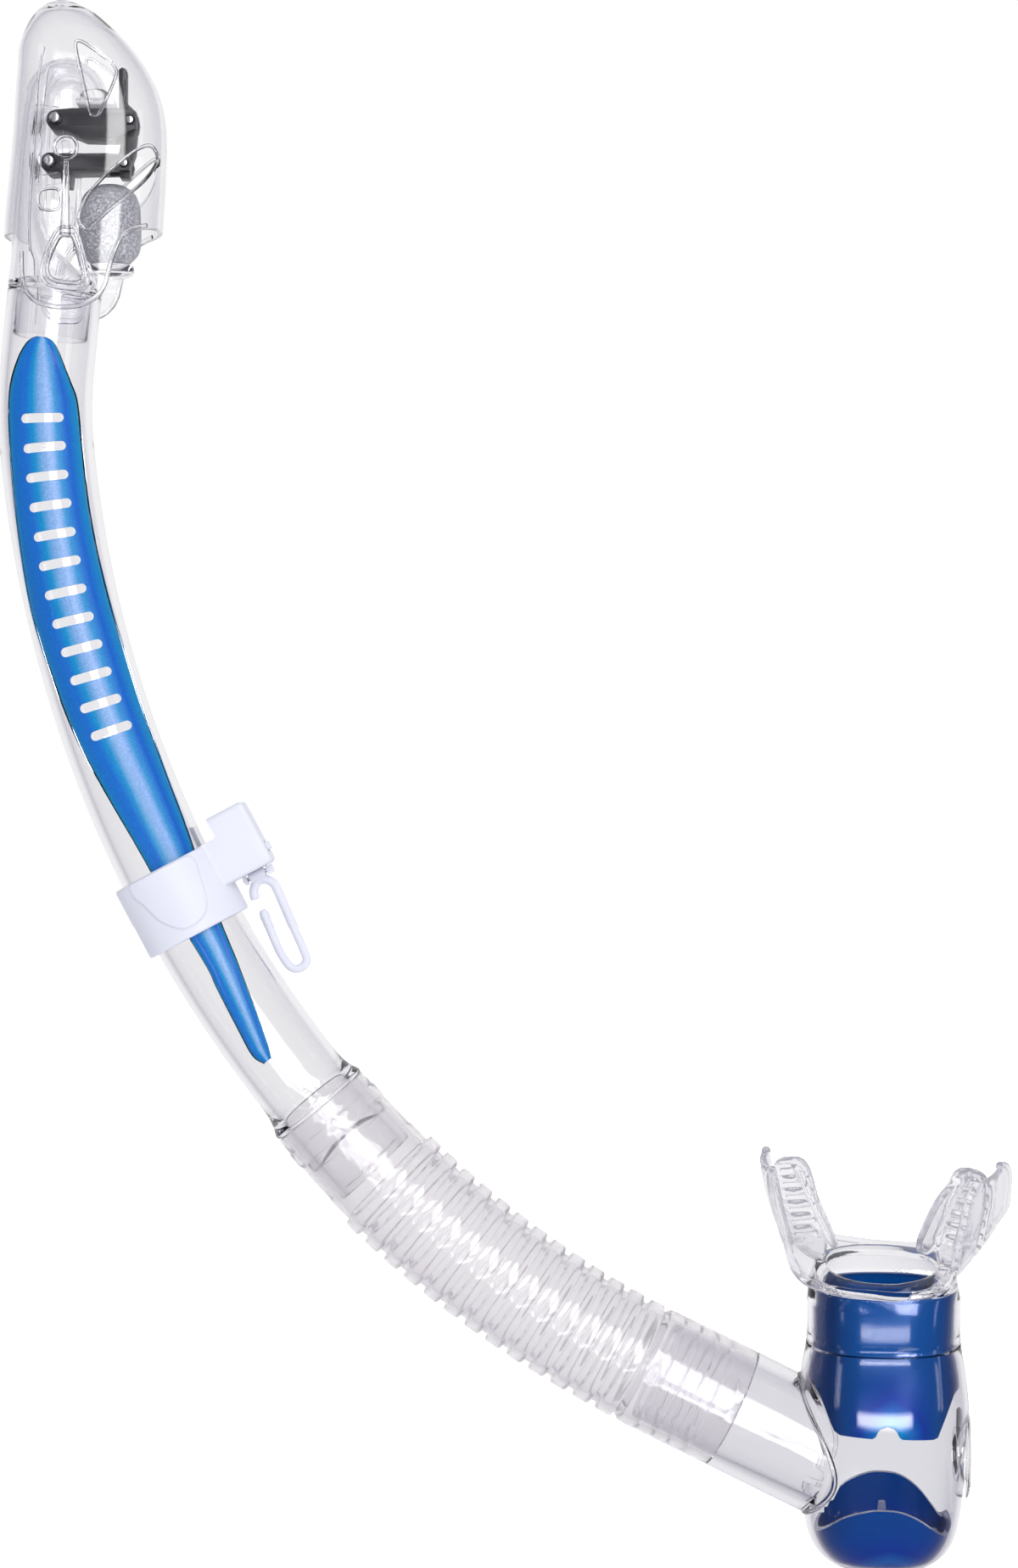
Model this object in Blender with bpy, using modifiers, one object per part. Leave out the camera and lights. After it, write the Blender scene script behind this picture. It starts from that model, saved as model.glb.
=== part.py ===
"""Dry-top snorkel: a bent clear tube with a float valve head, a sliding mask keeper with a
strap hook, a corrugated silicone hose, and a swivelling purge chamber with its mouthpiece.

Frame: metres, +X towards the mouthpiece, +Y away from the inlay side, +Z up the tube.
The origin is the centre of the keeper's flat strap pad. Dimensions below are millimetres.
Run with: blender --background --python part.py
"""

import math

import bmesh
import bpy
from mathutils import Matrix, Vector

MM = 0.001

# ---------------------------------------------------------------- driving dimensions (mm)
GAP = 0.3                          # clearance between pieces that touch

ARC_CENTRE = (257.8, 129.3)        # centre (x, z) of the tube's main bend
ARC_R = 314.6                      # radius of the main bend, on the tube's axis
ARC_LOW, ARC_HIGH = 39.75, 5.0     # bend angles at the hose rim and at the start of the top bend
TOP_R = 100.0                      # radius of the short reverse bend below the head
TOP_END = -5.7                     # bend angle where the tube runs straight into the head
TUBE_TOP = 230.0                   # axis length from the hose rim to the tube's upper end
SPIGOT_L = 22.0                    # spigot inside the hose
TUBE_R, BORE_R = 12.25, 10.1       # tube outside and bore radius
FLARE_R = 14.1                     # flared rim the hose butts against
SPIGOT_R = 12.3
INLAY_T, INLAY_BED = 0.8, 1.2      # inlay thickness and depth of its bed in the tube
SLOT_N, SLOT_PITCH, SLOT_W, SLOT_L = 12, 7.6, 2.5, 11.0

# inlay outline: axis length above the rim, left edge, right edge across the tube
INLAY = ((216.8, -1.5, 0.4), (212.0, -5.6, 4.2), (206.1, -7.8, 7.6), (200.6, -8.4, 9.4),
         (190.0, -8.7, 10.0), (170.0, -9.4, 9.9), (147.4, -10.1, 10.4), (131.0, -9.0, 10.9),
         (114.0, -7.7, 11.0), (96.6, -5.1, 10.8), (78.6, -3.0, 9.9), (49.3, -1.9, 6.3),
         (40.6, -2.6, 4.9), (29.2, -3.9, 2.5), (21.0, -4.9, 0.1), (17.6, -3.6, -1.4))

HEAD_WALL = 1.1                    # guard hood wall
FLOAT_PIVOT = (-53.8, 174.2)       # lower arm's pivot (x, z)
SEAL_PIVOT = (-52.3, 185.3)        # upper arm's pivot
ARM_L = 19.0                       # pivot to link pin, both arms
ARM_TRAVEL = 12.0                  # degrees from open to sealed
SEAT_R = 7.2                       # bend radius of the air duct over the seal
DUCT_A = 3.6                       # duct's half width in that bend
PIN_R, PIN_HOLE_R = 1.2, 1.45

KEEPER_ANGLE = 27.96               # place of the keeper on the main bend
COLLAR_L, COLLAR_R, COLLAR_BORE = 19.7, 14.45, 12.7
BLOCK_SHIFT = 0.83                 # the block's own frame stands this far off the tube's axis
PAD_V = 25.44                      # strap pad's height in that frame
BLOCK_U = (-15.5, 2.2)
BLOCK_Y = 8.0
HOOK_R = 1.15                      # hook wire radius
HOOK_U = 3.44                      # hook hinge below the keeper's centre

HOSE_DIR = (0.641, -0.767)         # hose direction at the rim
HOSE_R, HOSE_BEND = 274.4, 114.5   # bend radius and length of the bent stretch
HOSE_L = 135.1
RIB_N, RIB_PITCH, RIB_START = 13, 6.4, 27.3
RIB_R, VALLEY_R = 16.0, 14.5
HOSE_BORE = 13.05

INLET_R, INLET_BORE = 16.1, 12.6
CHAMBER_TILT = 10.0                # turn of the chamber on its inlet at rest
CHAMBER_X = 163.3
WALL = 1.5
# chamber outline: height, half width, half depth
CHAMBER = ((-132.6, 20.1, 15.0), (-142.0, 21.6, 16.6), (-150.0, 22.4, 17.6), (-160.0, 22.1, 18.0),
           (-171.0, 21.3, 17.8), (-180.0, 20.2, 17.0), (-185.0, 18.9, 15.8), (-189.0, 16.4, 13.6),
           (-191.7, 12.8, 10.6), (-192.7, 9.5, 7.8))
NECK_TOP = -117.5
MOUTH_Z, MOUTH_TILT, MOUTH_YAW, MOUTH_ROLL, WING_LEAN = -121.0, 12.0, -13.0, -3.0, 0.36

SEG = 20                           # facets round the tubes

# ---------------------------------------------------------------- scene, collections, materials
for old in list(bpy.data.objects):
    bpy.data.objects.remove(old, do_unlink=True)

parts = bpy.data.collections.new("snorkel_tube")
cutters = bpy.data.collections.new("cutters")
bpy.context.scene.collection.children.link(parts)
bpy.context.scene.collection.children.link(cutters)


def material(name, rgb, roughness, metallic=0.0, transmission=0.0):
    mat = bpy.data.materials.new(name)
    mat.use_nodes = True
    shader = mat.node_tree.nodes["Principled BSDF"]
    shader.inputs["Base Color"].default_value = (*rgb, 1.0)
    shader.inputs["Roughness"].default_value = roughness
    shader.inputs["Metallic"].default_value = metallic
    shader.inputs["Transmission Weight"].default_value = transmission
    mat.diffuse_color = (*rgb, 1.0)
    return mat


def empty(name, at, rotation=None, parent=None):
    """A joint axis or a local frame. `at` is in mm in the parent's frame."""
    e = bpy.data.objects.new(name, None)
    e.empty_display_size = 0.01
    parts.objects.link(e)
    e.parent = parent
    m = Matrix.Translation(Vector(at) * MM)
    e.matrix_local = m @ rotation.to_4x4() if rotation is not None else m
    return e


def finish(obj, mat, parent, cutter):
    """Puts an object in its collection, under its parent, with its material."""
    for c in list(obj.users_collection):
        c.objects.unlink(obj)
    obj.parent = parent
    if cutter:
        cutters.objects.link(obj)
        obj.hide_render = True
        obj.display_type = "WIRE"
    else:
        parts.objects.link(obj)
        obj.data.materials.clear()
        obj.data.materials.append(mat)
    return obj


def face_out(bm):
    """Turns all faces of closed bodies outwards."""
    bmesh.ops.recalc_face_normals(bm, faces=bm.faces)
    if bm.calc_volume(signed=True) < 0:
        bmesh.ops.reverse_faces(bm, faces=bm.faces)


def from_bmesh(name, bm, mat=None, parent=None, cutter=False, smooth=True):
    face_out(bm)
    mesh = bpy.data.meshes.new(name)
    bm.to_mesh(mesh)
    bm.free()
    if smooth:
        mesh.shade_smooth()
        mesh.set_sharp_from_angle(angle=math.radians(35))
    return finish(bpy.data.objects.new(name, mesh), mat, parent, cutter)


def skin(rings, closed):
    """Skins rings of equal point count: a ring-shaped body when closed, else a body with flat ends."""
    bm = bmesh.new()
    rows = [[bm.verts.new(Vector(p) * MM) for p in ring] for ring in rings]
    n, count = len(rows[0]), len(rows)
    for i in range(count if closed else count - 1):
        a, b = rows[i], rows[(i + 1) % count]
        for j in range(n):
            bm.faces.new((a[j], a[(j + 1) % n], b[(j + 1) % n], b[j]))
    if not closed:
        bm.faces.new(rows[0])
        bm.faces.new(rows[-1])
    return bm


def box(name, low, high, mat=None, parent=None, cutter=False, bevel=0.0):
    bm = bmesh.new()
    bmesh.ops.create_cube(bm, size=1.0)
    size = [(h - l) * MM for l, h in zip(low, high)]
    mid = [(h + l) / 2 * MM for l, h in zip(low, high)]
    bmesh.ops.scale(bm, vec=size, verts=bm.verts)
    bmesh.ops.translate(bm, vec=mid, verts=bm.verts)
    obj = from_bmesh(name, bm, mat, parent, cutter, smooth=False)
    if bevel:
        b = obj.modifiers.new("edges", "BEVEL")
        b.width, b.segments = bevel * MM, 2
    return obj


def rod(name, start, end, radius, mat=None, parent=None, cutter=False, segments=16, top_radius=None):
    """A round bar between two points in the parent's frame."""
    start, end = Vector(start) * MM, Vector(end) * MM
    bm = bmesh.new()
    bmesh.ops.create_cone(bm, cap_ends=True, segments=segments, radius1=radius * MM,
                          radius2=(radius if top_radius is None else top_radius) * MM,
                          depth=(end - start).length)
    turn = Vector((0, 0, 1)).rotation_difference(end - start).to_matrix().to_4x4()
    bm.transform(Matrix.Translation((start + end) / 2) @ turn)
    return from_bmesh(name, bm, mat, parent, cutter)


def turned(name, profile, mat=None, parent=None, at=(0, 0, 0), rotation=None, steps=24, cutter=False):
    """A turned piece: a closed profile of (radius, height), outer side first, running down."""
    mesh = bpy.data.meshes.new(name)
    verts = [(r * MM, 0, z * MM) for r, z in profile]
    edges = [(i, i + 1) for i in range(len(verts) - 1)]
    if profile[0][0] > 0 and profile[-1][0] > 0:
        edges.append((len(verts) - 1, 0))
    mesh.from_pydata(verts, edges, [])
    obj = finish(bpy.data.objects.new(name, mesh), mat, parent, cutter)
    obj.location = Vector(at) * MM
    if rotation is not None:
        obj.rotation_euler = rotation
    s = obj.modifiers.new("turn", "SCREW")
    s.steps = s.render_steps = steps
    s.use_merge_vertices = True
    s.merge_threshold = 0.00001
    s.use_smooth_shade = True
    return obj


def plate(name, outlines, half, mat=None, parent=None, at=(0, 0, 0), cutter=False, bevel=0.0):
    """A flat outline in the parent's XZ plane, with holes, extruded along Y, as a welded mesh."""
    curve = bpy.data.curves.new(name, "CURVE")
    curve.dimensions = "2D"
    curve.fill_mode = "BOTH"
    curve.extrude = half * MM
    for outline in outlines:
        spline = curve.splines.new("POLY")
        spline.points.add(len(outline) - 1)
        for point, (x, z) in zip(spline.points, outline):
            point.co = (x * MM, z * MM, 0, 1)
        spline.use_cyclic_u = True
    drawn = bpy.data.objects.new(name + "_curve", curve)
    bpy.context.scene.collection.objects.link(drawn)
    drawn.rotation_euler = (math.pi / 2, 0, 0)
    drawn.location = Vector(at) * MM
    bpy.context.view_layer.update()
    mesh = bpy.data.meshes.new_from_object(drawn.evaluated_get(bpy.context.evaluated_depsgraph_get()))
    mesh.name = name
    place = drawn.matrix_world.copy()
    bpy.data.objects.remove(drawn)
    bm = bmesh.new()
    bm.from_mesh(mesh)
    bmesh.ops.remove_doubles(bm, verts=bm.verts, dist=1e-6)
    face_out(bm)
    bm.to_mesh(mesh)
    bm.free()
    obj = finish(bpy.data.objects.new(name, mesh), mat, parent, cutter)
    obj.matrix_local = place
    if bevel:
        b = obj.modifiers.new("edges", "BEVEL")
        b.width, b.segments = bevel * MM, 1
        b.limit_method = "ANGLE"
    return obj


def wire(name, points, radius, mat=None, parent=None, cutter=False, resolution=2):
    """A bent wire through the points, in the parent's frame, as a welded mesh."""
    curve = bpy.data.curves.new(name, "CURVE")
    curve.dimensions = "3D"
    curve.bevel_depth = radius * MM
    curve.bevel_resolution = resolution
    curve.use_fill_caps = True
    spline = curve.splines.new("POLY")
    spline.points.add(len(points) - 1)
    for point, p in zip(spline.points, points):
        point.co = (*(Vector(p) * MM), 1)
    drawn = bpy.data.objects.new(name + "_curve", curve)
    bpy.context.scene.collection.objects.link(drawn)
    bpy.context.view_layer.update()
    mesh = bpy.data.meshes.new_from_object(drawn.evaluated_get(bpy.context.evaluated_depsgraph_get()))
    mesh.name = name
    bpy.data.objects.remove(drawn)
    bm = bmesh.new()
    bm.from_mesh(mesh)
    bmesh.ops.remove_doubles(bm, verts=bm.verts, dist=1e-6)
    face_out(bm)
    bm.to_mesh(mesh)
    bm.free()
    return finish(bpy.data.objects.new(name, mesh), mat, parent, cutter)


def boolean(obj, tool, operation="DIFFERENCE"):
    b = obj.modifiers.new(operation.lower(), "BOOLEAN")
    b.operation = operation
    b.solver = "EXACT"
    b.object = tool
    return obj


def smooth_line(points, steps):
    """A Catmull-Rom line through the points."""
    out = []
    pts = [points[0], *points, points[-1]]
    for i in range(1, len(pts) - 2):
        p0, p1, p2, p3 = (Vector(p) for p in pts[i - 1:i + 3])
        for k in range(steps):
            t = k / steps
            out.append(0.5 * (2 * p1 + (p2 - p0) * t + (2 * p0 - 5 * p1 + 4 * p2 - p3) * t * t
                              + (3 * p1 - p0 - 3 * p2 + p3) * t * t * t))
    out.append(Vector(points[-1]))
    return out


def table(rows, x):
    """Value columns of a table at x, its first column, with linear steps between rows."""
    rows = sorted(rows)
    if x <= rows[0][0]:
        return rows[0][1:]
    for low, high in zip(rows, rows[1:]):
        if x <= high[0]:
            t = (x - low[0]) / (high[0] - low[0])
            return tuple(a + (b - a) * t for a, b in zip(low[1:], high[1:]))
    return rows[-1][1:]


def circle(cx, cz, r, n=12, start=0.0, end=360.0):
    full = abs(end - start) >= 360
    return [(cx + r * math.cos(math.radians(start + (end - start) * i / (n if full else n - 1))),
             cz + r * math.sin(math.radians(start + (end - start) * i / (n if full else n - 1))))
            for i in range(n)]


def oval(cx, z, a, b, n=SEG, power=2.0, cy=0.0):
    """A flat ring at height z, half width a and half depth b; power over 2 squares it."""
    ring = []
    for i in range(n):
        t = 2 * math.pi * i / n
        c, s = math.cos(t), math.sin(t)
        ring.append((cx + a * math.copysign(abs(c) ** (2 / power), c),
                     cy + b * math.copysign(abs(s) ** (2 / power), s), z))
    return ring


# ---------------------------------------------------------------- axes of the tube and the hose
LOW_L = math.radians(ARC_LOW - ARC_HIGH) * ARC_R
HIGH_L = math.radians(ARC_HIGH - TOP_END) * TOP_R


def arc_point(angle):
    a = math.radians(angle)
    return (ARC_CENTRE[0] - ARC_R * math.cos(a), ARC_CENTRE[1] - ARC_R * math.sin(a))


def tube_axis(d):
    """Point (x, z) and bend angle of the tube's axis, d mm above the hose rim."""
    if d <= LOW_L:
        angle = ARC_LOW - math.degrees(d / ARC_R)
        return (*arc_point(angle), angle)
    x0, z0 = arc_point(ARC_HIGH)
    a0 = math.radians(ARC_HIGH)
    cx, cz = x0 + TOP_R * math.cos(a0), z0 + TOP_R * math.sin(a0)
    angle = max(TOP_END, ARC_HIGH - math.degrees((d - LOW_L) / TOP_R))
    a = math.radians(angle)
    x, z = cx - TOP_R * math.cos(a), cz - TOP_R * math.sin(a)
    beyond = max(0.0, d - LOW_L - HIGH_L)
    return (x - math.sin(a) * beyond, z + math.cos(a) * beyond, angle)


def tube_surface(d, r, turn):
    """Point at radius r; turn 0 faces the inside of the bend and 90 degrees faces -Y."""
    x, z, angle = tube_axis(d)
    a, t = math.radians(angle), math.radians(turn)
    return (x + r * math.cos(t) * math.cos(a), -r * math.sin(t), z + r * math.cos(t) * math.sin(a))


def tube_ring(d, r, n=SEG):
    return [tube_surface(d, r, 360 * i / n) for i in range(n)]


def hose_axis(s):
    """Point (x, z) and direction of the hose's axis, s mm below the rim."""
    x, z = arc_point(ARC_LOW)
    dx, dz = HOSE_DIR
    # the bend turns towards +X, round a centre on the upper side
    nx, nz = -dz, dx
    t = min(s, HOSE_BEND) / HOSE_R
    px = x + HOSE_R * (math.sin(t) * dx + (1 - math.cos(t)) * nx)
    pz = z + HOSE_R * (math.sin(t) * dz + (1 - math.cos(t)) * nz)
    qx, qz = math.cos(t) * dx + math.sin(t) * nx, math.cos(t) * dz + math.sin(t) * nz
    rest = max(0.0, s - HOSE_BEND)
    return px + qx * rest, pz + qz * rest, qx, qz


def hose_ring(s, r, n=SEG):
    x, z, dx, dz = hose_axis(s)
    return [(x + r * math.cos(t) * -dz, r * math.sin(t), z + r * math.cos(t) * dx)
            for t in (2 * math.pi * i / n for i in range(n))]


INLET = hose_axis(HOSE_L)[:2]      # hose end, on the inlet's axis
INLET_DIR = hose_axis(HOSE_L)[2:]

# ---------------------------------------------------------------- materials
clear = material("clear_polycarbonate", (0.90, 0.90, 0.93), 0.05, transmission=0.9)
silicone = material("clear_silicone", (0.92, 0.91, 0.93), 0.22, transmission=0.7)
white = material("white_plastic", (0.88, 0.89, 0.96), 0.38)
inlay_blue = material("pearl_blue", (0.01, 0.20, 0.56), 0.30, metallic=0.35)
deep_blue = material("deep_blue_plastic", (0.005, 0.09, 0.42), 0.15)
black = material("black_acetal", (0.02, 0.02, 0.025), 0.45)
grey = material("float_grey", (0.42, 0.42, 0.46), 0.35)
steel = material("pin_steel", (0.62, 0.62, 0.64), 0.25, metallic=1.0)

# ---------------------------------------------------------------- upper tube
levels = [-SPIGOT_L, -12.0, -11.9, -9.0, -8.9, -0.4, 0.0, 0.8, 2.5, 5.0, 8.0]
radii = [SPIGOT_R - 0.3, SPIGOT_R - 0.1, SPIGOT_R + 0.3, SPIGOT_R + 0.3, SPIGOT_R - 0.1,
         SPIGOT_R - 0.1, FLARE_R, FLARE_R, 13.3, 12.6, TUBE_R]
outer = [tube_ring(d, r) for d, r in zip(levels, radii)]
for k in range(1, 13):
    outer.append(tube_ring(8.0 + (TUBE_TOP - 8.0) * k / 12, TUBE_R))
inner = [tube_ring(-SPIGOT_L + (TUBE_TOP + SPIGOT_L) * k / 12, BORE_R) for k in range(12, -1, -1)]
upper_tube = from_bmesh("upper_tube", skin(outer + inner, True), clear)


def inlay_strip(name, margin, low_r, high_r, across, mat=None, cutter=False):
    """The strip that follows the inlay's outline between two radii."""
    line = smooth_line(INLAY, 1)
    first, last = line[0], line[-1]
    rings = []
    for i, p in enumerate(line):
        d, left, right = p
        if i == 0:
            d += margin
        if i == len(line) - 1:
            d -= margin
        left, right = left - margin, right + margin
        turns = [math.degrees(math.acos(right / TUBE_R)), math.degrees(math.acos(left / TUBE_R))]
        over = [tube_surface(d, high_r, turns[0] + (turns[1] - turns[0]) * k / across)
                for k in range(across + 1)]
        under = [tube_surface(d, low_r, turns[0] + (turns[1] - turns[0]) * k / across)
                 for k in range(across, -1, -1)]
        rings.append(over + under)
    return from_bmesh(name, skin(rings, False), mat, None, cutter)


bed = inlay_strip("inlay_bed_cutter", 0.3, TUBE_R - INLAY_BED, TUBE_R + 1.5, 5, cutter=True)
boolean(upper_tube, bed)

inlay = inlay_strip("tube_inlay", 0.0, TUBE_R - INLAY_T - 0.1, TUBE_R - 0.1, 5, inlay_blue)
slots = bmesh.new()
for k in range(SLOT_N):
    d = 196.0 - SLOT_PITCH * k
    left, right = table(INLAY, d)
    x, z, angle = tube_axis(d)
    a = math.radians(angle)
    middle = (left + right) / 2
    half = SLOT_L / 2 - SLOT_W / 2
    outline = []
    for side, start in ((1, -90), (-1, 90)):
        for i in range(4):
            t = math.radians(start + 60 * i)
            outline.append((middle + side * half + SLOT_W / 2 * math.cos(t), SLOT_W / 2 * math.sin(t)))
    ring = [(x + v * math.cos(a) - w * math.sin(a), z + v * math.sin(a) + w * math.cos(a)) for v, w in outline]
    front = [slots.verts.new(Vector((px, -20.0, pz)) * MM) for px, pz in ring]
    back = [slots.verts.new(Vector((px, -4.0, pz)) * MM) for px, pz in ring]
    slots.faces.new(front)
    slots.faces.new(back)
    for i in range(len(ring)):
        j = (i + 1) % len(ring)
        slots.faces.new((front[i], front[j], back[j], back[i]))
slot_cutter = from_bmesh("inlay_slot_cutter", slots, cutter=True, smooth=False)
boolean(inlay, slot_cutter)

# ---------------------------------------------------------------- valve head: neck, air duct and seat
seal_turn = math.radians(ARM_TRAVEL)
pad_rest = (10.5, 5.0)             # pad face centre from the upper arm's pivot, at rest
pad_shut = (pad_rest[0] * math.cos(seal_turn) - pad_rest[1] * math.sin(seal_turn),
            pad_rest[0] * math.sin(seal_turn) + pad_rest[1] * math.cos(seal_turn))
seat = (SEAL_PIVOT[0] + pad_shut[0] - 0.3 * math.sin(seal_turn),
        SEAL_PIVOT[1] + pad_shut[1] + 0.3 * math.cos(seal_turn))
bend = (seat[0] - SEAT_R * math.cos(seal_turn), seat[1] - SEAT_R * math.sin(seal_turn))

neck_x, neck_z, _ = tube_axis(TUBE_TOP)


def duct_ring(x, z, angle, a, b):
    """Section of the duct: angle is its in-plane normal's turn from +X, in degrees."""
    t0 = math.radians(angle)
    ring = []
    for i in range(16):
        t = 2 * math.pi * i / 16
        v = a * math.cos(t)
        ring.append((x + v * math.cos(t0), b * math.sin(t), z + v * math.sin(t0)))
    return ring


def spigot_ring(d, r):
    x, z, angle = tube_axis(d)
    return duct_ring(x, z, angle, r, r)


# neck and duct: height, left side, right side, half depth
DUCT = ((144.0, -65.4, -43.5, 12.0), (147.0, -65.0, -47.5, 11.5), (150.0, -64.7, -50.5, 11.0),
        (154.0, -64.5, -53.8, 10.4), (160.0, -64.2, -56.2, 9.8), (168.0, -63.5, -56.8, 9.4), (176.0, -62.7, -56.8, 9.2),
        (187.0, -61.6, -55.4, 9.1), (bend[1], bend[0] - SEAT_R - DUCT_A, bend[0] - SEAT_R + DUCT_A, 9.0))
duct_wall = 1.2
outside = [spigot_ring(TUBE_TOP - 12.0, BORE_R - 0.35), spigot_ring(TUBE_TOP + 0.25, BORE_R - 0.35),
           spigot_ring(TUBE_TOP + 0.3, TUBE_R), spigot_ring(TUBE_TOP + 1.2, TUBE_R)]
inside = [spigot_ring(TUBE_TOP - 12.0, BORE_R - 1.6), spigot_ring(TUBE_TOP + 1.2, BORE_R - 1.6)]
for z, left, right, b in DUCT:
    outside.append(duct_ring((left + right) / 2, z, 0, (right - left) / 2, b))
    inside.append(duct_ring((left + right) / 2, z, 0, (right - left) / 2 - duct_wall, b - duct_wall))
for k in range(1, 7):
    turn = 180 - (180 - ARM_TRAVEL) * k / 6
    t = math.radians(turn)
    cx, cz = bend[0] + SEAT_R * math.cos(t), bend[1] + SEAT_R * math.sin(t)
    outside.append(duct_ring(cx, cz, turn + 180, DUCT_A, 9.0))
    inside.append(duct_ring(cx, cz, turn + 180, DUCT_A - duct_wall, 9.0 - duct_wall))
valve_head = from_bmesh("valve_head", skin(outside + inside[::-1], True), clear)
for side in (-1, 1):
    ear = box("ear_%s" % ("front" if side < 0 else "back"), (-58.6, side * 7.9 - 0.7, 170.6),
              (-50.3, side * 7.9 + 0.7, 188.3), cutter=True)
    boolean(valve_head, ear, "UNION")
for name, pivot in (("float_pin_hole", FLOAT_PIVOT), ("seal_pin_hole", SEAL_PIVOT)):
    hole = rod(name, (pivot[0], -12, pivot[1]), (pivot[0], 12, pivot[1]), PIN_HOLE_R, cutter=True, segments=12)
    boolean(valve_head, hole)

for name, pivot in (("float_arm_pin", FLOAT_PIVOT), ("seal_arm_pin", SEAL_PIVOT)):
    rod(name, (pivot[0], -9.2, pivot[1]), (pivot[0], 9.2, pivot[1]), PIN_R, steel, segments=12)

# ---------------------------------------------------------------- guard hood
# outline: height, left side, right side, half depth
HOOD = ((136.4, -66.2, -27.8, 15.0), (143.0, -66.3, -26.6, 15.2), (150.0, -66.3, -25.9, 15.4),
        (158.0, -66.2, -25.3, 15.4), (168.0, -65.3, -24.6, 15.3), (178.0, -64.3, -24.2, 15.0),
        (186.0, -63.7, -24.5, 14.6), (193.0, -63.3, -26.2, 14.0), (199.0, -62.8, -29.1, 13.2),
        (205.0, -62.4, -33.4, 12.0), (210.0, -60.6, -38.2, 10.0), (214.0, -58.2, -42.8, 7.2),
        (216.4, -55.3, -47.2, 3.6))


HOOD_SEG = 22


def hood_ring(z, inset=0.0):
    left, right, b = table(HOOD, z)
    return oval((left + right) / 2, z, (right - left) / 2 - inset, b - inset, HOOD_SEG, 2.8)


hood_out = [hood_ring(row[0]) for row in HOOD]
tops = [row[0] for row in HOOD]
hood_in = [hood_ring(z, HEAD_WALL) for z in tops[:-2]] + [hood_ring(213.3, HEAD_WALL)]
bm = bmesh.new()
out_rows = [[bm.verts.new(Vector(p) * MM) for p in ring] for ring in hood_out]
in_rows = [[bm.verts.new(Vector(p) * MM) for p in ring] for ring in hood_in]
for rows in (out_rows, in_rows):
    for a, b in zip(rows, rows[1:]):
        for j in range(HOOD_SEG):
            bm.faces.new((a[j], a[(j + 1) % HOOD_SEG], b[(j + 1) % HOOD_SEG], b[j]))
    bm.faces.new(rows[-1])
for j in range(HOOD_SEG):
    bm.faces.new((out_rows[0][j], out_rows[0][(j + 1) % HOOD_SEG], in_rows[0][(j + 1) % HOOD_SEG], in_rows[0][j]))
guard_hood = from_bmesh("guard_hood", bm, clear)

# the rim: cut away beside the front and back tongues
left_rim = [(-70, 130), (-61.2, 130), (-60.6, 144), (-60.9, 151), (-62.4, 155.0), (-70, 155.6)]
right_rim = [(-20, 130), (-37.6, 130), (-38.4, 140), (-36.8, 148), (-34.6, 153.5), (-31.6, 155.4), (-20, 158.2)]
for name, outline in (("rim_left", left_rim), ("rim_right", right_rim)):
    boolean(guard_hood, plate(name, [outline], 20, cutter=True))
foot = [(-61.5, 130), (-60.2, 144.5), (-59.0, 141.0), (-56.6, 138.4), (-53.0, 137.0), (-49.0, 136.7),
        (-45.0, 137.2), (-41.4, 139.0), (-39.3, 141.2), (-37.0, 146), (-37.0, 130)]
boolean(guard_hood, plate("rim_foot", [foot], 20, cutter=True))
top_window = [(-48.1, 206.0), (-46.9, 207.2), (-42.4, 204.3), (-38.2, 200.6), (-38.0, 197.3),
              (-41.6, 188.9), (-43.4, 188.0), (-44.4, 189.4), (-46.6, 199.0)]
leaf_vent = [(-46.9, 160.4), (-45.6, 158.2), (-44.0, 158.4), (-39.0, 163.0), (-31.0, 170.2),
             (-27.6, 176.0), (-28.0, 179.0), (-30.2, 179.7), (-36.2, 175.3), (-42.8, 168.7), (-46.0, 163.6)]
foot_window = [(-52.4, 155.0), (-50.0, 155.8), (-48.3, 154.8), (-46.2, 146.6), (-46.9, 144.0),
               (-50.5, 143.8), (-54.4, 145.0), (-55.2, 148.4)]
for name, outline in (("top_window", top_window), ("leaf_vent", leaf_vent), ("foot_window", foot_window)):
    boolean(guard_hood, plate(name, [outline], 20, cutter=True))

# ---------------------------------------------------------------- float arm and seal arm
float_axis = empty("float_arm_axis", (FLOAT_PIVOT[0], 0, FLOAT_PIVOT[1]))
seal_axis = empty("seal_arm_axis", (SEAL_PIVOT[0], 0, SEAL_PIVOT[1]))

arm = circle(0, 0, 2.6, 7, 100, 262) + [(2.5, -2.35), (2.9, -5.6), (4.8, -5.6), (5.2, -2.3), (15.5, -2.15),
                                        (20.4, -1.9), (20.9, 0.0), (20.4, 2.0), (15.0, 2.4), (7.0, 2.3), (2.5, 2.3)]
float_arm = plate("float_arm", [arm, circle(0, 0, PIN_HOLE_R, 12), circle(ARM_L, 0, 1.3, 10)], 5.6, black, float_axis)
boolean(float_arm, box("float_arm_fork", (14.6, -3.4, -6), (24, 3.4, 6), parent=float_axis, cutter=True))

arm = circle(0, 0, 2.6, 7, 95, 265) + [(3.0, -3.0), (7.0, -4.6), (15.2, -4.8), (20.6, -2.2), (21.0, 0.0), (20.6, 2.2),
                                       (16.6, 3.0), (3.5, 3.0)]
seal_arm = plate("seal_arm", [arm, circle(0, 0, PIN_HOLE_R, 12), circle(ARM_L, 0, 1.3, 10)], 5.6, black, seal_axis)
boolean(seal_arm, box("seal_arm_fork", (14.7, -3.4, -6), (24, 3.4, 6), parent=seal_axis, cutter=True))
box("seal_pad", (pad_rest[0] - 5.0, -10.2, 3.3), (pad_rest[0] + 5.0, 10.2, pad_rest[1]), silicone, seal_axis, bevel=0.4)

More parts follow.
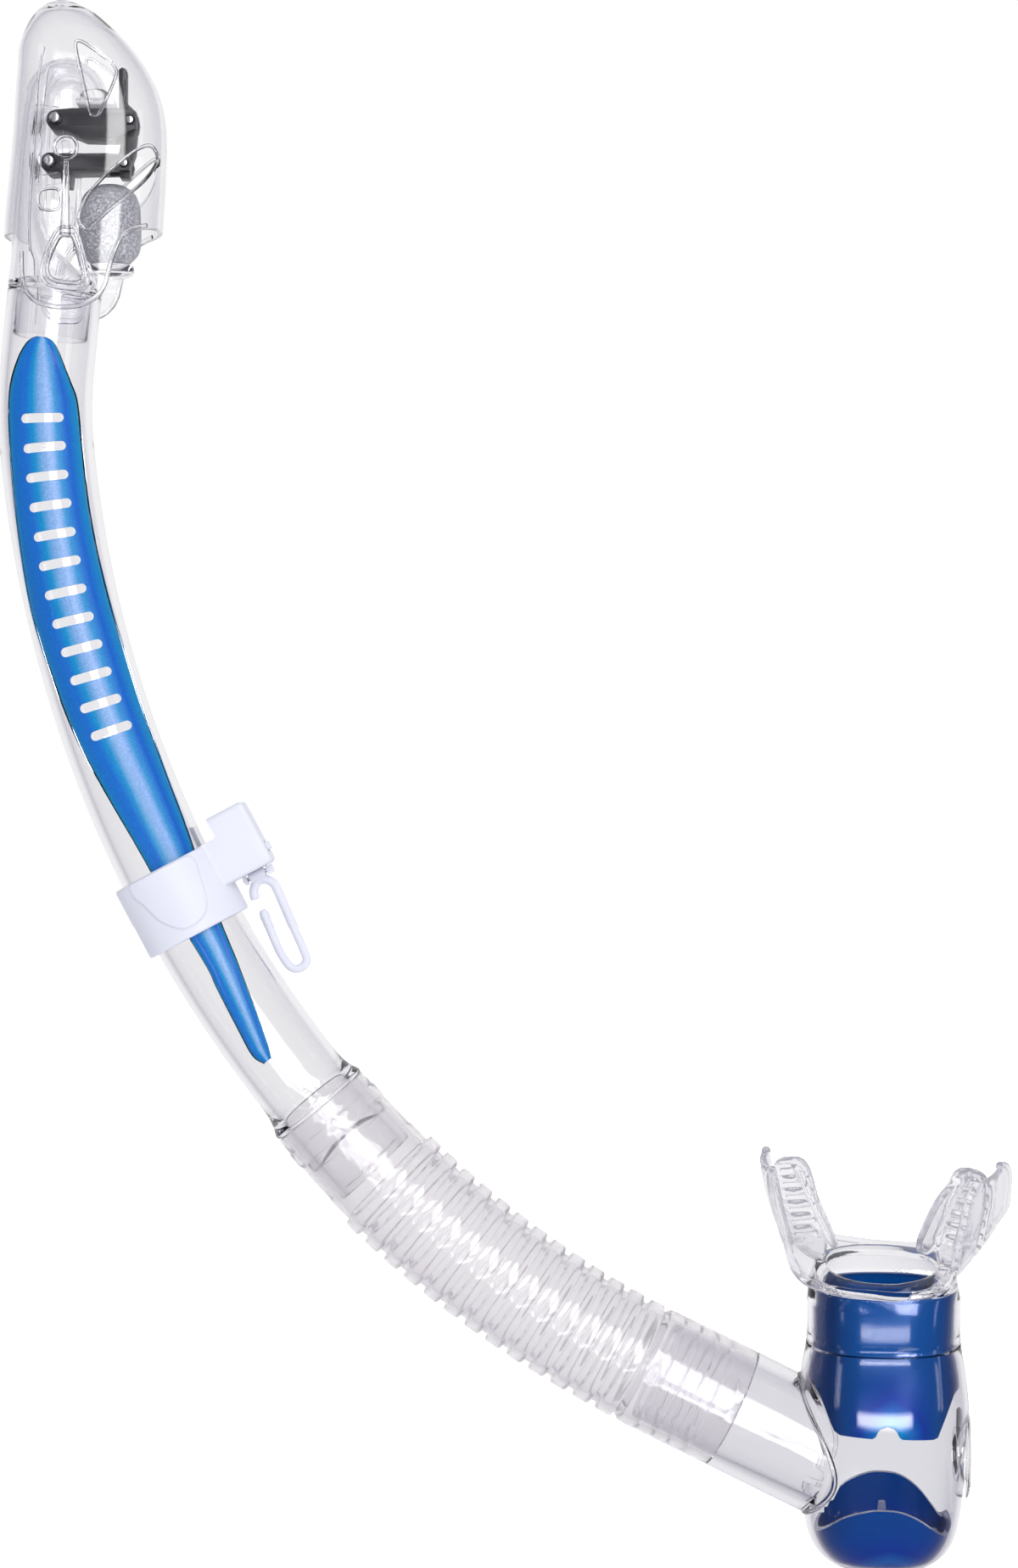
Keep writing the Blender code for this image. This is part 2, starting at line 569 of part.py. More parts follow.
# ---------------------------------------------------------------- link, float
link_axis = empty("float_link_axis", (ARM_L, 0, 0), parent=float_axis)
bar = [(-1.2, -3.6), (1.2, -3.6), (1.5, 0), (2.6, 3.0), (3.1, 8.4), (3.1, 13.4), (0.4, 16.0), (0.5, 24.6),
       (-0.6, 25.2), (-1.5, 24.6), (-1.5, 15.0), (-0.2, 9.6), (-1.5, 3.0), (-1.8, 0)]
link_bar = plate("link_bar", [bar], 3.0, black, link_axis)
rod("link_pin_lower", (0, -5.9, 0), (0, 5.9, 0), 1.0, steel, link_axis, segments=10)
pin_gap = (SEAL_PIVOT[0] - FLOAT_PIVOT[0], SEAL_PIVOT[1] - FLOAT_PIVOT[1])
rod("link_pin_upper", (pin_gap[0], -5.9, pin_gap[1]), (pin_gap[0], 5.9, pin_gap[1]), 1.0, steel, link_axis, segments=10)
for name, (px, pz) in (("link_hole_low", (0, 0)), ("link_hole_high", pin_gap)):
    hole = rod(name, (px, -8, pz), (px, 8, pz), 1.1, parent=link_axis, cutter=True, segments=10)
    boolean(link_bar, hole)

FLOAT_X, FLOAT_R, FLOAT_TOP, FLOAT_LOW = -38.9, 8.1, 169.4, 148.4
float_at = (FLOAT_X - FLOAT_PIVOT[0] - ARM_L, 0, -FLOAT_PIVOT[1])
profile = [(0, FLOAT_TOP), (3.4, FLOAT_TOP - 0.5), (6.2, FLOAT_TOP - 2.3), (7.6, FLOAT_TOP - 4.8),
           (FLOAT_R, FLOAT_TOP - 8.0), (FLOAT_R, FLOAT_LOW + 5.5), (7.4, FLOAT_LOW + 2.6), (5.6, FLOAT_LOW + 0.5),
           (5.0, FLOAT_LOW), (4.2, FLOAT_LOW), (4.2, FLOAT_LOW + 6.0), (0, FLOAT_LOW + 7.0)]
turned("float_body", profile, grey, link_axis, float_at, steps=20)
cap = [(0, FLOAT_LOW + 5.0), (3.8, FLOAT_LOW + 4.2), (3.8, FLOAT_LOW - 0.3), (5.4, FLOAT_LOW - 0.3), (6.3, FLOAT_LOW - 1.3),
       (6.0, FLOAT_LOW - 2.6), (4.8, FLOAT_LOW - 3.4), (0, FLOAT_LOW - 3.4)]
turned("float_cap", cap, clear, link_axis, float_at, steps=16)

# ---------------------------------------------------------------- keeper: collar, block, catch, carrier, hook
keeper_slide = empty("keeper_slide_axis", (ARC_CENTRE[0], 0, ARC_CENTRE[1]))
kx, kz = arc_point(KEEPER_ANGLE)
keeper_turn = Matrix.Rotation(-math.radians(KEEPER_ANGLE), 3, "Y")
# local frame of the keeper: +X away from the tube's axis to the strap pad, +Z up the tube
keeper = empty("keeper_frame", (kx - ARC_CENTRE[0], 0, kz - ARC_CENTRE[1]), keeper_turn, keeper_slide)

block_frame = empty("keeper_block_frame", (BLOCK_SHIFT, 0, 0), parent=keeper)
half = COLLAR_L / 2
collar = turned("keeper_collar", [(COLLAR_BORE + 0.4, half), (COLLAR_R - 0.3, half), (COLLAR_R, half - 0.4), (COLLAR_R, -half + 0.4),
                                  (COLLAR_R - 0.3, -half), (COLLAR_BORE + 0.4, -half), (COLLAR_BORE, -half + 0.4),
                                  (COLLAR_BORE, half - 0.4)], white, keeper, steps=32)
block = box("keeper_block", (9.0, -BLOCK_Y, -BLOCK_U[1]), (PAD_V, BLOCK_Y, -BLOCK_U[0]), parent=block_frame, cutter=True, bevel=0.7)
boolean(collar, block, "UNION")
tongue = plate("keeper_tongue", [[(-9.2, 9.4), (7.4, 9.4), (7.9, 2.0), (6.2, -4.5), (2.6, -7.0), (-2.0, -6.8), (-6.0, -2.8), (-8.2, 3.0)]],
               4.0, parent=keeper, at=(0, -15.5, 0), cutter=True)
sleeve = turned("keeper_tongue_sleeve", [(COLLAR_R + 0.6, half - 0.3), (COLLAR_R + 0.6, -half), (COLLAR_R - 0.5, -half), (COLLAR_R - 0.5, half - 0.3)],
                parent=keeper, steps=32, cutter=True)
boolean(tongue, sleeve, "INTERSECT")
boolean(collar, tongue, "UNION")
boolean(collar, rod("keeper_bore", (0, 0, -30), (0, 0, 30), COLLAR_BORE + 0.05, parent=keeper, cutter=True, segments=32))
boolean(collar, box("keeper_undercut", (4, -12, 10.05), (15.1, 12, 20), parent=block_frame, cutter=True))
boolean(collar, box("keeper_socket", (15.6, -5.3, -6), (23.2, 5.3, 11.0), parent=block_frame, cutter=True))
boolean(collar, box("keeper_window", (22.0, -2.9, 0.7), (30, 2.9, 3.5), parent=block_frame, cutter=True))

button_axis = empty("release_button_axis", (23.9, 0, 2.1), parent=block_frame)
box("release_button", (0, -2.6, -1.1), (2.4, 2.6, 1.1), white, button_axis, bevel=0.3)

carrier_axis = empty("hook_carrier_axis", (0, 0, 0), parent=block_frame)
carrier = box("hook_carrier", (16.1, -5.0, -1.7), (22.7, 5.0, 10.5), white, carrier_axis, bevel=0.3)
fork = [(15.9, 2.0), (15.9, -4.65), (16.75, -4.65), (16.75, -1.9), (22.5, -1.9), (22.5, -4.65), (24.2, -4.65), (24.2, -2.45),
        (22.9, -2.45), (22.9, 2.0)]
boolean(carrier, plate("hook_carrier_fork", [fork], 1.1, parent=carrier_axis, cutter=True), "UNION")
boolean(carrier, rod("hook_pin_hole", (14, 0, -HOOK_U), (26, 0, -HOOK_U), 0.8, parent=carrier_axis, cutter=True, segments=10))
rod("hook_pin", (15.7, 0, -HOOK_U), (24.1, 0, -HOOK_U), 0.55, steel, carrier_axis, segments=8)

hook_axis = empty("hook_axis", (19.65, 0, -HOOK_U), parent=carrier_axis)
# hook wire: distance from the tube's axis, distance below the keeper's centre
HOOK = ((16.3, 8.9), (16.5, 7.6), (17.3, 6.2), (18.8, 5.0), (20.2, 5.0), (21.5, 5.9), (22.3, 7.2), (22.5, 9.2),
        (21.0, 28.0), (20.2, 29.6), (18.6, 30.3), (17.0, 29.9), (15.9, 28.3), (15.45, 24.4), (16.55, 12.2))
line = [(v - 19.65, 0, HOOK_U - u) for v, u in HOOK]
strap_hook = wire("strap_hook", line, HOOK_R, white, hook_axis)
boolean(strap_hook, rod("hook_barrel", (-2.25, 0, 0), (2.25, 0, 0), 1.2, parent=hook_axis, cutter=True, segments=12), "UNION")
boolean(strap_hook, rod("hook_barrel_bore", (-4, 0, 0), (4, 0, 0), 0.75, parent=hook_axis, cutter=True, segments=10))

# ---------------------------------------------------------------- corrugated hose
hx, hz, _, _ = hose_axis(66.0)
hose_mid = empty("hose_axis", (hx, 0, hz))
steps = [(0.3, 14.1), (4.6, 14.15), (5.0, 14.5), (9.0, 14.5), (9.4, 14.2), (19.5, 14.3), (20.0, 14.6), (24.5, 14.6)]
for k in range(RIB_N):
    s = RIB_START + RIB_PITCH * k
    steps += [(s - 1.1, VALLEY_R), (s, RIB_R), (s + 2.9, RIB_R), (s + 4.0, VALLEY_R)]
steps += [(109.5, 16.0), (112.0, 16.1), (HOSE_L, 16.1)]
bore = [(HOSE_L, 14.05), (110.0, 14.05), (107.0, 13.4), (80.0, 13.4), (52.0, 13.4), (25.0, 13.4),
        (23.0, HOSE_BORE), (12.0, HOSE_BORE + 0.1), (0.3, HOSE_BORE)]


def shift(points, at):
    return [(x - at[0], y - at[1], z - at[2]) for x, y, z in points]


rings = [shift(hose_ring(s, r, 16), (hx, 0, hz)) for s, r in steps + bore]
from_bmesh("corrugated_hose", skin(rings, True), silicone, hose_mid)

# ---------------------------------------------------------------- purge chamber
inlet_axis = Vector((INLET_DIR[0], 0, INLET_DIR[1])).normalized()
tilt = Matrix.Rotation(math.radians(CHAMBER_TILT), 3, inlet_axis)
chamber = empty("chamber_axis", (INLET[0] - hx, 0, INLET[1] - hz), tilt, hose_mid)
S0 = (INLET[0], 0, INLET[1])
AXIS_X = CHAMBER_X - INLET[0]


def chamber_rings(rows, inset, n=24):
    return [oval(AXIS_X, z - INLET[1], a - inset, b - inset, n, 2.4) for z, a, b in rows]


body = from_bmesh("chamber_body", skin(chamber_rings(CHAMBER, 0.0), False), clear, chamber)
u = Vector((inlet_axis.x, 0, inlet_axis.z))


def along(t):
    return tuple(u * t)


boolean(body, rod("inlet_pipe", along(0.3), along(34.0), INLET_R, parent=chamber, cutter=True, segments=SEG), "UNION")
boolean(body, rod("inlet_spigot", along(-22.0), along(8.0), 13.4, parent=chamber, cutter=True, segments=SEG), "UNION")
hollow = [(z, a, b) for z, a, b in CHAMBER if z > -190.5]
hollow[0] = (-128.0, hollow[0][1], hollow[0][2])
hollow.append((-191.0, 13.0, 10.8))
boolean(body, from_bmesh("chamber_hollow", skin(chamber_rings(hollow, WALL), False), parent=chamber, cutter=True))
boolean(body, rod("inlet_bore", along(-30.0), along(30.0), INLET_BORE, parent=chamber, cutter=True, segments=SEG))
BASE = -192.7
boolean(body, from_bmesh("purge_opening", skin([oval(AXIS_X, BASE - 2 - INLET[1], 8.4, 6.8, 20, 2.2),
                                                 oval(AXIS_X, -188.0 - INLET[1], 8.4, 6.8, 20, 2.2)], False),
              parent=chamber, cutter=True))
port_z = -162.5 - INLET[1]
boolean(body, rod("side_port", (AXIS_X + 14, 0, port_z), (AXIS_X + 30, 0, port_z), 7.3, parent=chamber, cutter=True, segments=SEG))
boolean(body, rod("side_port_face", (AXIS_X + 21.35, 0, port_z), (AXIS_X + 30, 0, port_z), 12.0, parent=chamber, cutter=True, segments=SEG))

# round cap in the side port: flange outside, plug inside
cap_turn = (0, math.pi / 2, 0)
turned("side_cap", [(0, 1.5), (9.6, 1.4), (11.2, 0.9), (11.6, 0.3), (6.9, 0.3), (6.9, -2.2), (5.6, -2.2), (5.6, -0.4), (0, -0.4)],
       clear, chamber, (AXIS_X + 21.35, 0, port_z), cap_turn, steps=24)

# ---------------------------------------------------------------- blue neck shroud, inside the clear body
LINER = 1.3
neck_rows = [(NECK_TOP, 18.0, 12.9), (NECK_TOP - 1.0, 18.3, 13.2), (-131.8, 18.3, 13.2)]
body_rows = [(z, a - WALL - GAP, b - WALL - GAP) for z, a, b in CHAMBER if -132.7 < z or (z < -140 and z > -165)]
rows = neck_rows + [(-133.4, 18.4, 13.3)] + body_rows[1:]
rows = [r for r in rows if r[0] > -161]
shroud_out = [oval(AXIS_X, z - INLET[1], a, b, 24, 2.4) for z, a, b in rows]
shroud_in = [oval(AXIS_X, z - INLET[1], a - LINER, b - LINER, 24, 2.4) for z, a, b in rows]
shroud = from_bmesh("neck_shroud", skin(shroud_out + shroud_in[::-1], True), deep_blue, chamber)
edge = [(-30, -140.4), (-19.9, -140.4), (-17.5, -141.2), (-15.7, -144.6), (-13.3, -150.6), (-11.1, -153.2), (-2.8, -153.6),
        (-1.4, -151.6), (1.0, -150.6), (3.2, -151.6), (4.8, -153.7), (13.5, -154.2), (15.6, -149.0), (17.7, -143.6), (20.0, -142.0),
        (30, -142.0), (30, -170), (-30, -170)]
boolean(shroud, plate("shroud_edge", [[(AXIS_X + x, z - INLET[1]) for x, z in edge]], 30, parent=chamber, cutter=True))
boolean(shroud, rod("shroud_inlet_clearance", along(10.0), along(26.0), 17.0, parent=chamber, cutter=True, segments=SEG))

# ---------------------------------------------------------------- blue purge cover, a cup in the chamber's base
cup = [(-172.0, 21.2, 17.75), (-180.0, 20.2, 17.0), (-185.0, 18.9, 15.8), (-189.0, 16.4, 13.6), (-190.5, 13.6, 11.3)]
cup_out = [oval(AXIS_X, z - INLET[1], a - WALL - GAP, b - WALL - GAP, 24, 2.4) for z, a, b in cup]
cup_in = [oval(AXIS_X, z - INLET[1], a - WALL - GAP - LINER, b - WALL - GAP - LINER, 24, 2.4) for z, a, b in cup[:-1]]
cup_in[-1] = [(x, y, -188.6 - INLET[1]) for x, y, z in cup_in[-1]]
bm = bmesh.new()
out_rows = [[bm.verts.new(Vector(p) * MM) for p in ring] for ring in cup_out]
in_rows = [[bm.verts.new(Vector(p) * MM) for p in ring] for ring in cup_in]
for rows in (out_rows, in_rows):
    for a, b in zip(rows, rows[1:]):
        for j in range(24):
            bm.faces.new((a[j], a[(j + 1) % 24], b[(j + 1) % 24], b[j]))
    bm.faces.new(rows[-1])
for j in range(24):
    bm.faces.new((out_rows[0][j], out_rows[0][(j + 1) % 24], in_rows[0][(j + 1) % 24], in_rows[0][j]))
purge_cover = from_bmesh("purge_cover", bm, deep_blue, chamber)
foot_face = BASE
boolean(purge_cover, from_bmesh("purge_foot", skin([oval(AXIS_X, foot_face - INLET[1], 8.0, 6.4, 20, 2.2),
                                                    oval(AXIS_X, -189.4 - INLET[1], 8.0, 6.4, 20, 2.2)], False),
                        parent=chamber, cutter=True), "UNION")
wave = [(-30, -183.0), (-20.7, -183.0), (-17.4, -182.0), (-14.6, -179.7), (-9.6, -175.5), (-3.5, -173.3), (5.0, -173.6),
        (9.8, -176.3), (14.4, -180.7), (16.0, -181.6), (17.8, -179.8), (30, -179.8), (30, -165), (-30, -165)]
boolean(purge_cover, plate("purge_cover_edge", [[(AXIS_X + x, z - INLET[1]) for x, z in wave]], 30, parent=chamber, cutter=True))
boolean(purge_cover, rod("purge_inlet_clearance", along(10.0), along(24.0), 16.6, parent=chamber, cutter=True, segments=SEG))
for k, x in enumerate((-5.2, 5.2)):
    boolean(purge_cover, box("purge_outlet_%d" % (k + 1), (AXIS_X + x - 1.1, -4.0, BASE - 3 - INLET[1]),
                             (AXIS_X + x + 1.1, 4.0, -184 - INLET[1]), parent=chamber, cutter=True))

# ---------------------------------------------------------------- purge seat and membrane
SEAT_Z = -184.6
seat_rows = [(SEAT_Z + 1.5, 15.4, 12.2), (SEAT_Z, 15.4, 12.2)]
seat_obj = from_bmesh("purge_seat", skin([oval(AXIS_X, z - INLET[1], a, b, 24, 2.3) for z, a, b in seat_rows], False), clear, chamber)
for k in range(4):
    t = math.radians(45 + 90 * k)
    boolean(seat_obj, rod("seat_hole_%d" % (k + 1), (AXIS_X + 6.2 * math.cos(t), 5.2 * math.sin(t), SEAT_Z - 3 - INLET[1]),
                          (AXIS_X + 6.2 * math.cos(t), 5.2 * math.sin(t), SEAT_Z + 4 - INLET[1]), 2.9, parent=chamber, cutter=True, segments=12))
boolean(seat_obj, rod("seat_stem_hole", (AXIS_X, 0, SEAT_Z - 3 - INLET[1]), (AXIS_X, 0, SEAT_Z + 4 - INLET[1]), 1.6,
                      parent=chamber, cutter=True, segments=12))
membrane_axis = empty("purge_membrane_axis", (AXIS_X, 0, SEAT_Z - INLET[1]), parent=chamber)
turned("purge_membrane", [(0, 9.0), (0.9, 8.8), (1.2, 6.0), (1.2, 3.4), (1.25, -0.3), (9.4, -0.3), (9.6, -0.7), (9.2, -1.1), (0, -1.2)],
       silicone, membrane_axis, steps=20)

# ---------------------------------------------------------------- mouthpiece
mouth = empty("mouth_frame", (AXIS_X, 0, MOUTH_Z - INLET[1]),
              Matrix.Rotation(math.radians(MOUTH_ROLL), 3, "Y") @ Matrix.Rotation(math.radians(MOUTH_TILT), 3, "X")
              @ Matrix.Rotation(math.radians(MOUTH_YAW), 3, "Z"), chamber)
# skirt over the chamber's neck, then the throat up to the lip shield
skirt_out = [oval(AXIS_X, z - INLET[1], a, b, 24, 2.4) for z, a, b in
             ((-132.2, 20.0, 15.0), (-128.0, 20.1, 15.1), (-121.0, 19.9, 14.9))]
skirt_in = [oval(AXIS_X, z - INLET[1], a, b, 24, 2.4) for z, a, b in
            ((-132.2, 18.65, 13.6), (NECK_TOP + 0.3, 18.65, 13.6))]
turn = (Matrix.Rotation(math.radians(MOUTH_ROLL), 4, "Y") @ Matrix.Rotation(math.radians(MOUTH_TILT), 4, "X")
        @ Matrix.Rotation(math.radians(MOUTH_YAW), 4, "Z"))


def mouth_ring(z, a, b, power=2.2):
    ring = []
    for p in oval(0, z, a, b, 24, power):
        q = turn @ Vector(p)
        ring.append((q.x + AXIS_X, q.y, q.z + MOUTH_Z - INLET[1]))
    return ring


skirt_out += [mouth_ring(6.6, 19.2, 14.3), mouth_ring(9.0, 17.6, 12.2)]
skirt_in += [mouth_ring(7.8, 15.4, 9.8), mouth_ring(9.0, 15.2, 9.4)]
mouthpiece = from_bmesh("mouthpiece", skin(skirt_out + skirt_in[::-1], True), silicone, chamber)

# lip shield: a band that follows a U and turns up at both ends
SHIELD = ((-29.0, 38.0, 5.5), (-27.9, 30.5, 9.8), (-26.0, 22.5, 11.4), (-22.8, 15.0, 12.6), (-17.0, 10.2, 13.4), (-8.0, 8.7, 14.0),
          (0.0, 8.5, 14.0), (8.0, 8.7, 14.0), (17.0, 10.2, 13.4), (22.8, 15.0, 12.6), (26.0, 22.5, 11.4), (27.9, 30.5, 9.8),
          (29.0, 38.0, 5.5))
SHIELD_T = 2.0
rings = []
for i, (x, z, depth) in enumerate(SHIELD):
    x0, z0, _ = SHIELD[max(0, i - 1)]
    x1, z1, _ = SHIELD[min(len(SHIELD) - 1, i + 1)]
    length = math.hypot(x1 - x0, z1 - z0)
    nx, nz = -(z1 - z0) / length, (x1 - x0) / length
    ring = []
    for side, thick, y in ((1, 0.35, -1.0), (1, 0.5, -0.85), (1, 0.5, 0.85), (1, 0.35, 1.0),
                           (-1, 0.35, 1.0), (-1, 0.5, 0.85), (-1, 0.5, -0.85), (-1, 0.35, -1.0)):
        lean = math.copysign(WING_LEAN, x) * y * depth * min(1.0, max(0.0, (z - 9.0) / 14.0))
        ring.append((x + nx * side * thick * SHIELD_T + lean, y * depth, z + nz * side * thick * SHIELD_T))
    rings.append(ring)
shield = from_bmesh("lip_shield", skin(rings, False), parent=mouth, cutter=True)
boolean(mouthpiece, shield, "UNION")
for side, name in ((-1, "left"), (1, "right")):
    bite = [(-28.0, 35.5), (-23.4, 38.6), (-19.0, 37.0), (-16.6, 28.0), (-14.6, 17.0), (-16.0, 10.6), (-22.0, 14.2), (-26.0, 22.4)]
    bite = [(-side * x, z) for x, z in bite]
    boolean(mouthpiece, plate("bite_%s" % name, [bite], 2.9, parent=mouth, cutter=True), "UNION")
    tab = [(-7.6, 19.5), (-8.2, 26.5), (-6.2, 33.0), (0.0, 35.6), (6.2, 33.0), (8.2, 26.5), (7.6, 19.5), (0.0, 15.0)]
    bm = bmesh.new()
    a = [bm.verts.new(Vector((side * (14.6 + (z - 15) * 0.12 + y * WING_LEAN), y, z)) * MM) for y, z in tab]
    b = [bm.verts.new(Vector((side * (16.3 + (z - 15) * 0.12 + y * WING_LEAN), y, z)) * MM) for y, z in tab]
    bm.faces.new(a)
    bm.faces.new(b)
    for i in range(len(tab)):
        j = (i + 1) % len(tab)
        bm.faces.new((a[i], a[j], b[j], b[i]))
    boolean(mouthpiece, from_bmesh("tongue_tab_%s" % name, bm, parent=mouth, cutter=True, smooth=False), "UNION")
airway = from_bmesh("mouth_airway", skin([oval(0, 4.0, 14.8, 9.0, 24, 2.2), oval(0, 14.0, 14.4, 8.4, 24, 2.2)], False),
                    parent=mouth, cutter=True)
boolean(mouthpiece, airway)
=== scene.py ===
"""Looks of the dry-top snorkel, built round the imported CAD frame.

The snorkel stands in the XZ plane. The valve head is at the upper left (-X), the chamber and
mouthpiece at the lower right (+X). The camera looks along +Y, so the front is -Y.
Sizes are millimetres and angles degrees; meshes are turned to metres as they are made.
"""

from math import acos, atan2, copysign, cos, degrees, exp, hypot, pi, radians, sin

import bmesh
import bpy
from mathutils import Matrix, Vector
from mathutils.bvhtree import BVHTree


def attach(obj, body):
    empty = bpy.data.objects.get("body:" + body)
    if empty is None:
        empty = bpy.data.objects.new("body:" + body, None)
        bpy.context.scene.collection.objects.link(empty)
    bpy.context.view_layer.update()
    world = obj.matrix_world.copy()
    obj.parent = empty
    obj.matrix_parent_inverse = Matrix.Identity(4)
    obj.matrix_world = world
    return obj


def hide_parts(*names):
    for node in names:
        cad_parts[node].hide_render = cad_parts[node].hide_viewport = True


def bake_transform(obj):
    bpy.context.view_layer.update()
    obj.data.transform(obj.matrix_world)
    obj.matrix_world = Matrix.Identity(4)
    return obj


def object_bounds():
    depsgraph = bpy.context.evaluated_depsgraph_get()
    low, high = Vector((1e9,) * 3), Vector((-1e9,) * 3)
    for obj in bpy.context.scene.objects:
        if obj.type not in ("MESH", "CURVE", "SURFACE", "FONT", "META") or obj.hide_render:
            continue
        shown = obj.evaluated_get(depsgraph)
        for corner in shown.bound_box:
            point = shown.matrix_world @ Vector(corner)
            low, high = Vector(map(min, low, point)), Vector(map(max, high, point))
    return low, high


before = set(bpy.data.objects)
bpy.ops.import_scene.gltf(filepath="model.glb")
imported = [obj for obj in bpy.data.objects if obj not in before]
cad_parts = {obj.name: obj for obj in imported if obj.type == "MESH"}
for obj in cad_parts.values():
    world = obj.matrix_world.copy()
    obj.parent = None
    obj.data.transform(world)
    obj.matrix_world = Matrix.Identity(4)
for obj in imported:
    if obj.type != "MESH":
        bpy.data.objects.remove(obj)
CAD_BOUNDS = [list(corner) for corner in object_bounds()]

MM = 0.001
scene = bpy.context.scene

# ---------------------------------------------------------------- dimensions shared with the CAD
# tube: a long arc, then a tighter arc at the top; arc angles are the tube's lean
ARC_CENTRE, ARC_R = (257.8, 129.3), 314.6
ARC_LOW, ARC_HIGH, TOP_R, TOP_END = 39.75, 5.0, 100.0, -5.7
TUBE_TOP, SPIGOT_L = 230.0, 22.0
TUBE_R, BORE_R = 12.25, 10.1
# valve head; pivots are (x, z)
FLOAT_PIVOT, SEAL_PIVOT = (-53.8, 174.2), (-52.3, 185.3)
ARM_L, ARM_TRAVEL, PIN_R, PIN_HOLE_R = 19.0, 12.0, 1.2, 1.45
# keeper round the tube
KEEPER_ANGLE, BLOCK_SHIFT = 27.96, 0.83
HOOK_OUT, HOOK_DROP = 19.65, 3.44
# hose: an arc, then a straight end
HOSE_DIR, HOSE_R, HOSE_BEND, HOSE_L = (0.641, -0.767), 274.4, 114.5, 135.1
# chamber, its liners and the mouthpiece
INLET_R, INLET_BORE, CHAMBER_TILT, CHAMBER_X = 16.1, 12.6, 10.0, 163.3
WALL, GAP, LINER, NECK_TOP, BASE = 1.5, 0.3, 1.3, -117.5, -192.7
MOUTH_Z, MOUTH_TILT, MOUTH_YAW, MOUTH_ROLL = -121.0, 12.0, -13.0, -3.0
# camera
VIEW_X, VIEW_Z, VIEW_DISTANCE = 65.6, 12.2, 991.0


# ---------------------------------------------------------------- node materials
class Nodes:
    """Short ways to build a node tree."""

    def __init__(self, tree):
        self.tree = tree
        tree.nodes.clear()

    def add(self, kind, **values):
        """A node; capitalised values are its inputs, the others its properties."""
        node = self.tree.nodes.new("ShaderNode" + kind)
        for key, value in values.items():
            if key[0].isupper():
                self.put(node.inputs[key.replace("_", " ")], value)
            else:
                setattr(node, key, value)
        return node

    def put(self, socket, value):
        if isinstance(value, bpy.types.NodeSocket):
            self.tree.links.new(value, socket)
        elif socket.type == "RGBA":
            socket.default_value = (*value, 1.0)
        else:
            socket.default_value = value

    def math(self, operation, first, second, clamp=False):
        node = self.add("Math", operation=operation, use_clamp=clamp)
        self.put(node.inputs[0], first)
        self.put(node.inputs[1], second)
        return node.outputs[0]

    def scaled(self, value, factor, offset):
        return self.math("ADD", self.math("MULTIPLY", value, factor), offset)

    def object_coords(self):
        return self.add("TexCoord").outputs["Object"]

    def noise(self, scale, detail=3.0, rough=0.5, vector=None):
        if vector is None:
            vector = self.object_coords()
        node = self.add("TexNoise", Scale=scale, Detail=detail, Roughness=rough, Vector=vector)
        return node.outputs["Fac"]

    def attribute(self, name):
        return self.add("Attribute", attribute_name=name).outputs["Fac"]

    def ramp(self, value, stops):
        """A colour ramp from stops of (position, colour)."""
        node = self.add("ValToRGB", Fac=value)
        elements = node.color_ramp.elements
        while len(elements) < len(stops):
            elements.new(0.5)
        for element, (position, colour) in zip(elements, stops):
            element.position = position
            element.color = (*colour, 1.0)
        return node.outputs["Color"]

    def mix(self, factor, first, second, blend_type="MIX"):
        node = self.add("Mix", data_type="RGBA", blend_type=blend_type)
        for name, value in (("Factor", factor), ("A", first), ("B", second)):
            self.put(next(k for k in node.inputs if k.name == name and k.enabled), value)
        return next(k for k in node.outputs if k.enabled)

    def bump(self, height, strength, distance=0.0001):
        node = self.add("Bump", Strength=strength, Distance=distance, Height=height)
        return node.outputs["Normal"]

    def join(self, kind, first, second, **values):
        """Two shader nodes into a MixShader or an AddShader."""
        node = self.add(kind, **values)
        self.put(node.inputs[-2], first.outputs[0])
        self.put(node.inputs[-1], second.outputs[0])
        return node

    def finish(self, shader, output="OutputMaterial"):
        self.add(output, Surface=shader.outputs[0])


def new_material(name):
    material = bpy.data.materials.new(name)
    material.use_nodes = True
    return material, Nodes(material.node_tree)


def clear_material(name, tint, edge, roughness, ior, milk=0.0, milk_colour=(0.9, 0.9, 0.93),
                   ripple_scale=90.0, ripple_strength=0.03, milk_where=None):
    """Clear plastic or silicone: refracts what the eye sees, lets shadow and diffuse rays pass.
    Its tint turns to the edge colour at grazing angles, painted shade for its grey edges.
    """
    material, nodes = new_material(name)
    ripple = nodes.noise(ripple_scale, detail=2.0, rough=0.4)
    normal = nodes.bump(ripple, strength=ripple_strength)
    haze = nodes.noise(240.0, detail=4.0, rough=0.6)
    # painted shade: the tint darkens to the edge colour where the surface turns away
    facing = nodes.add("LayerWeight", Blend=0.35, Normal=normal).outputs["Facing"]
    shader = nodes.add(
        "BsdfPrincipled",
        Base_Color=nodes.mix(nodes.math("POWER", facing, 1.35), tint, edge),
        Roughness=nodes.scaled(haze, factor=roughness * 0.8, offset=roughness * 0.6),
        IOR=ior,
        Transmission_Weight=1.0,
        Normal=normal)
    if milk:
        body = nodes.add("BsdfPrincipled", Base_Color=milk_colour, Roughness=0.25, Normal=normal)
        through = nodes.add("BsdfTranslucent", Color=milk_colour)
        soft = nodes.join("MixShader", body, through, Fac=0.5)
        cloud = nodes.math("ADD", nodes.noise(60.0), 0.5)
        cloud = nodes.math("MULTIPLY", cloud, milk)
        if milk_where:
            cloud = nodes.math("MULTIPLY", cloud, nodes.attribute(milk_where))
        shader = nodes.join("MixShader", shader, soft, Fac=cloud)
    path = nodes.add("LightPath").outputs
    light = nodes.math("MAXIMUM", path["Is Shadow Ray"], path["Is Diffuse Ray"])
    passing = nodes.add("BsdfTransparent", Color=(0.94, 0.94, 0.94))
    nodes.finish(nodes.join("MixShader", shader, passing, Fac=light))
    return material


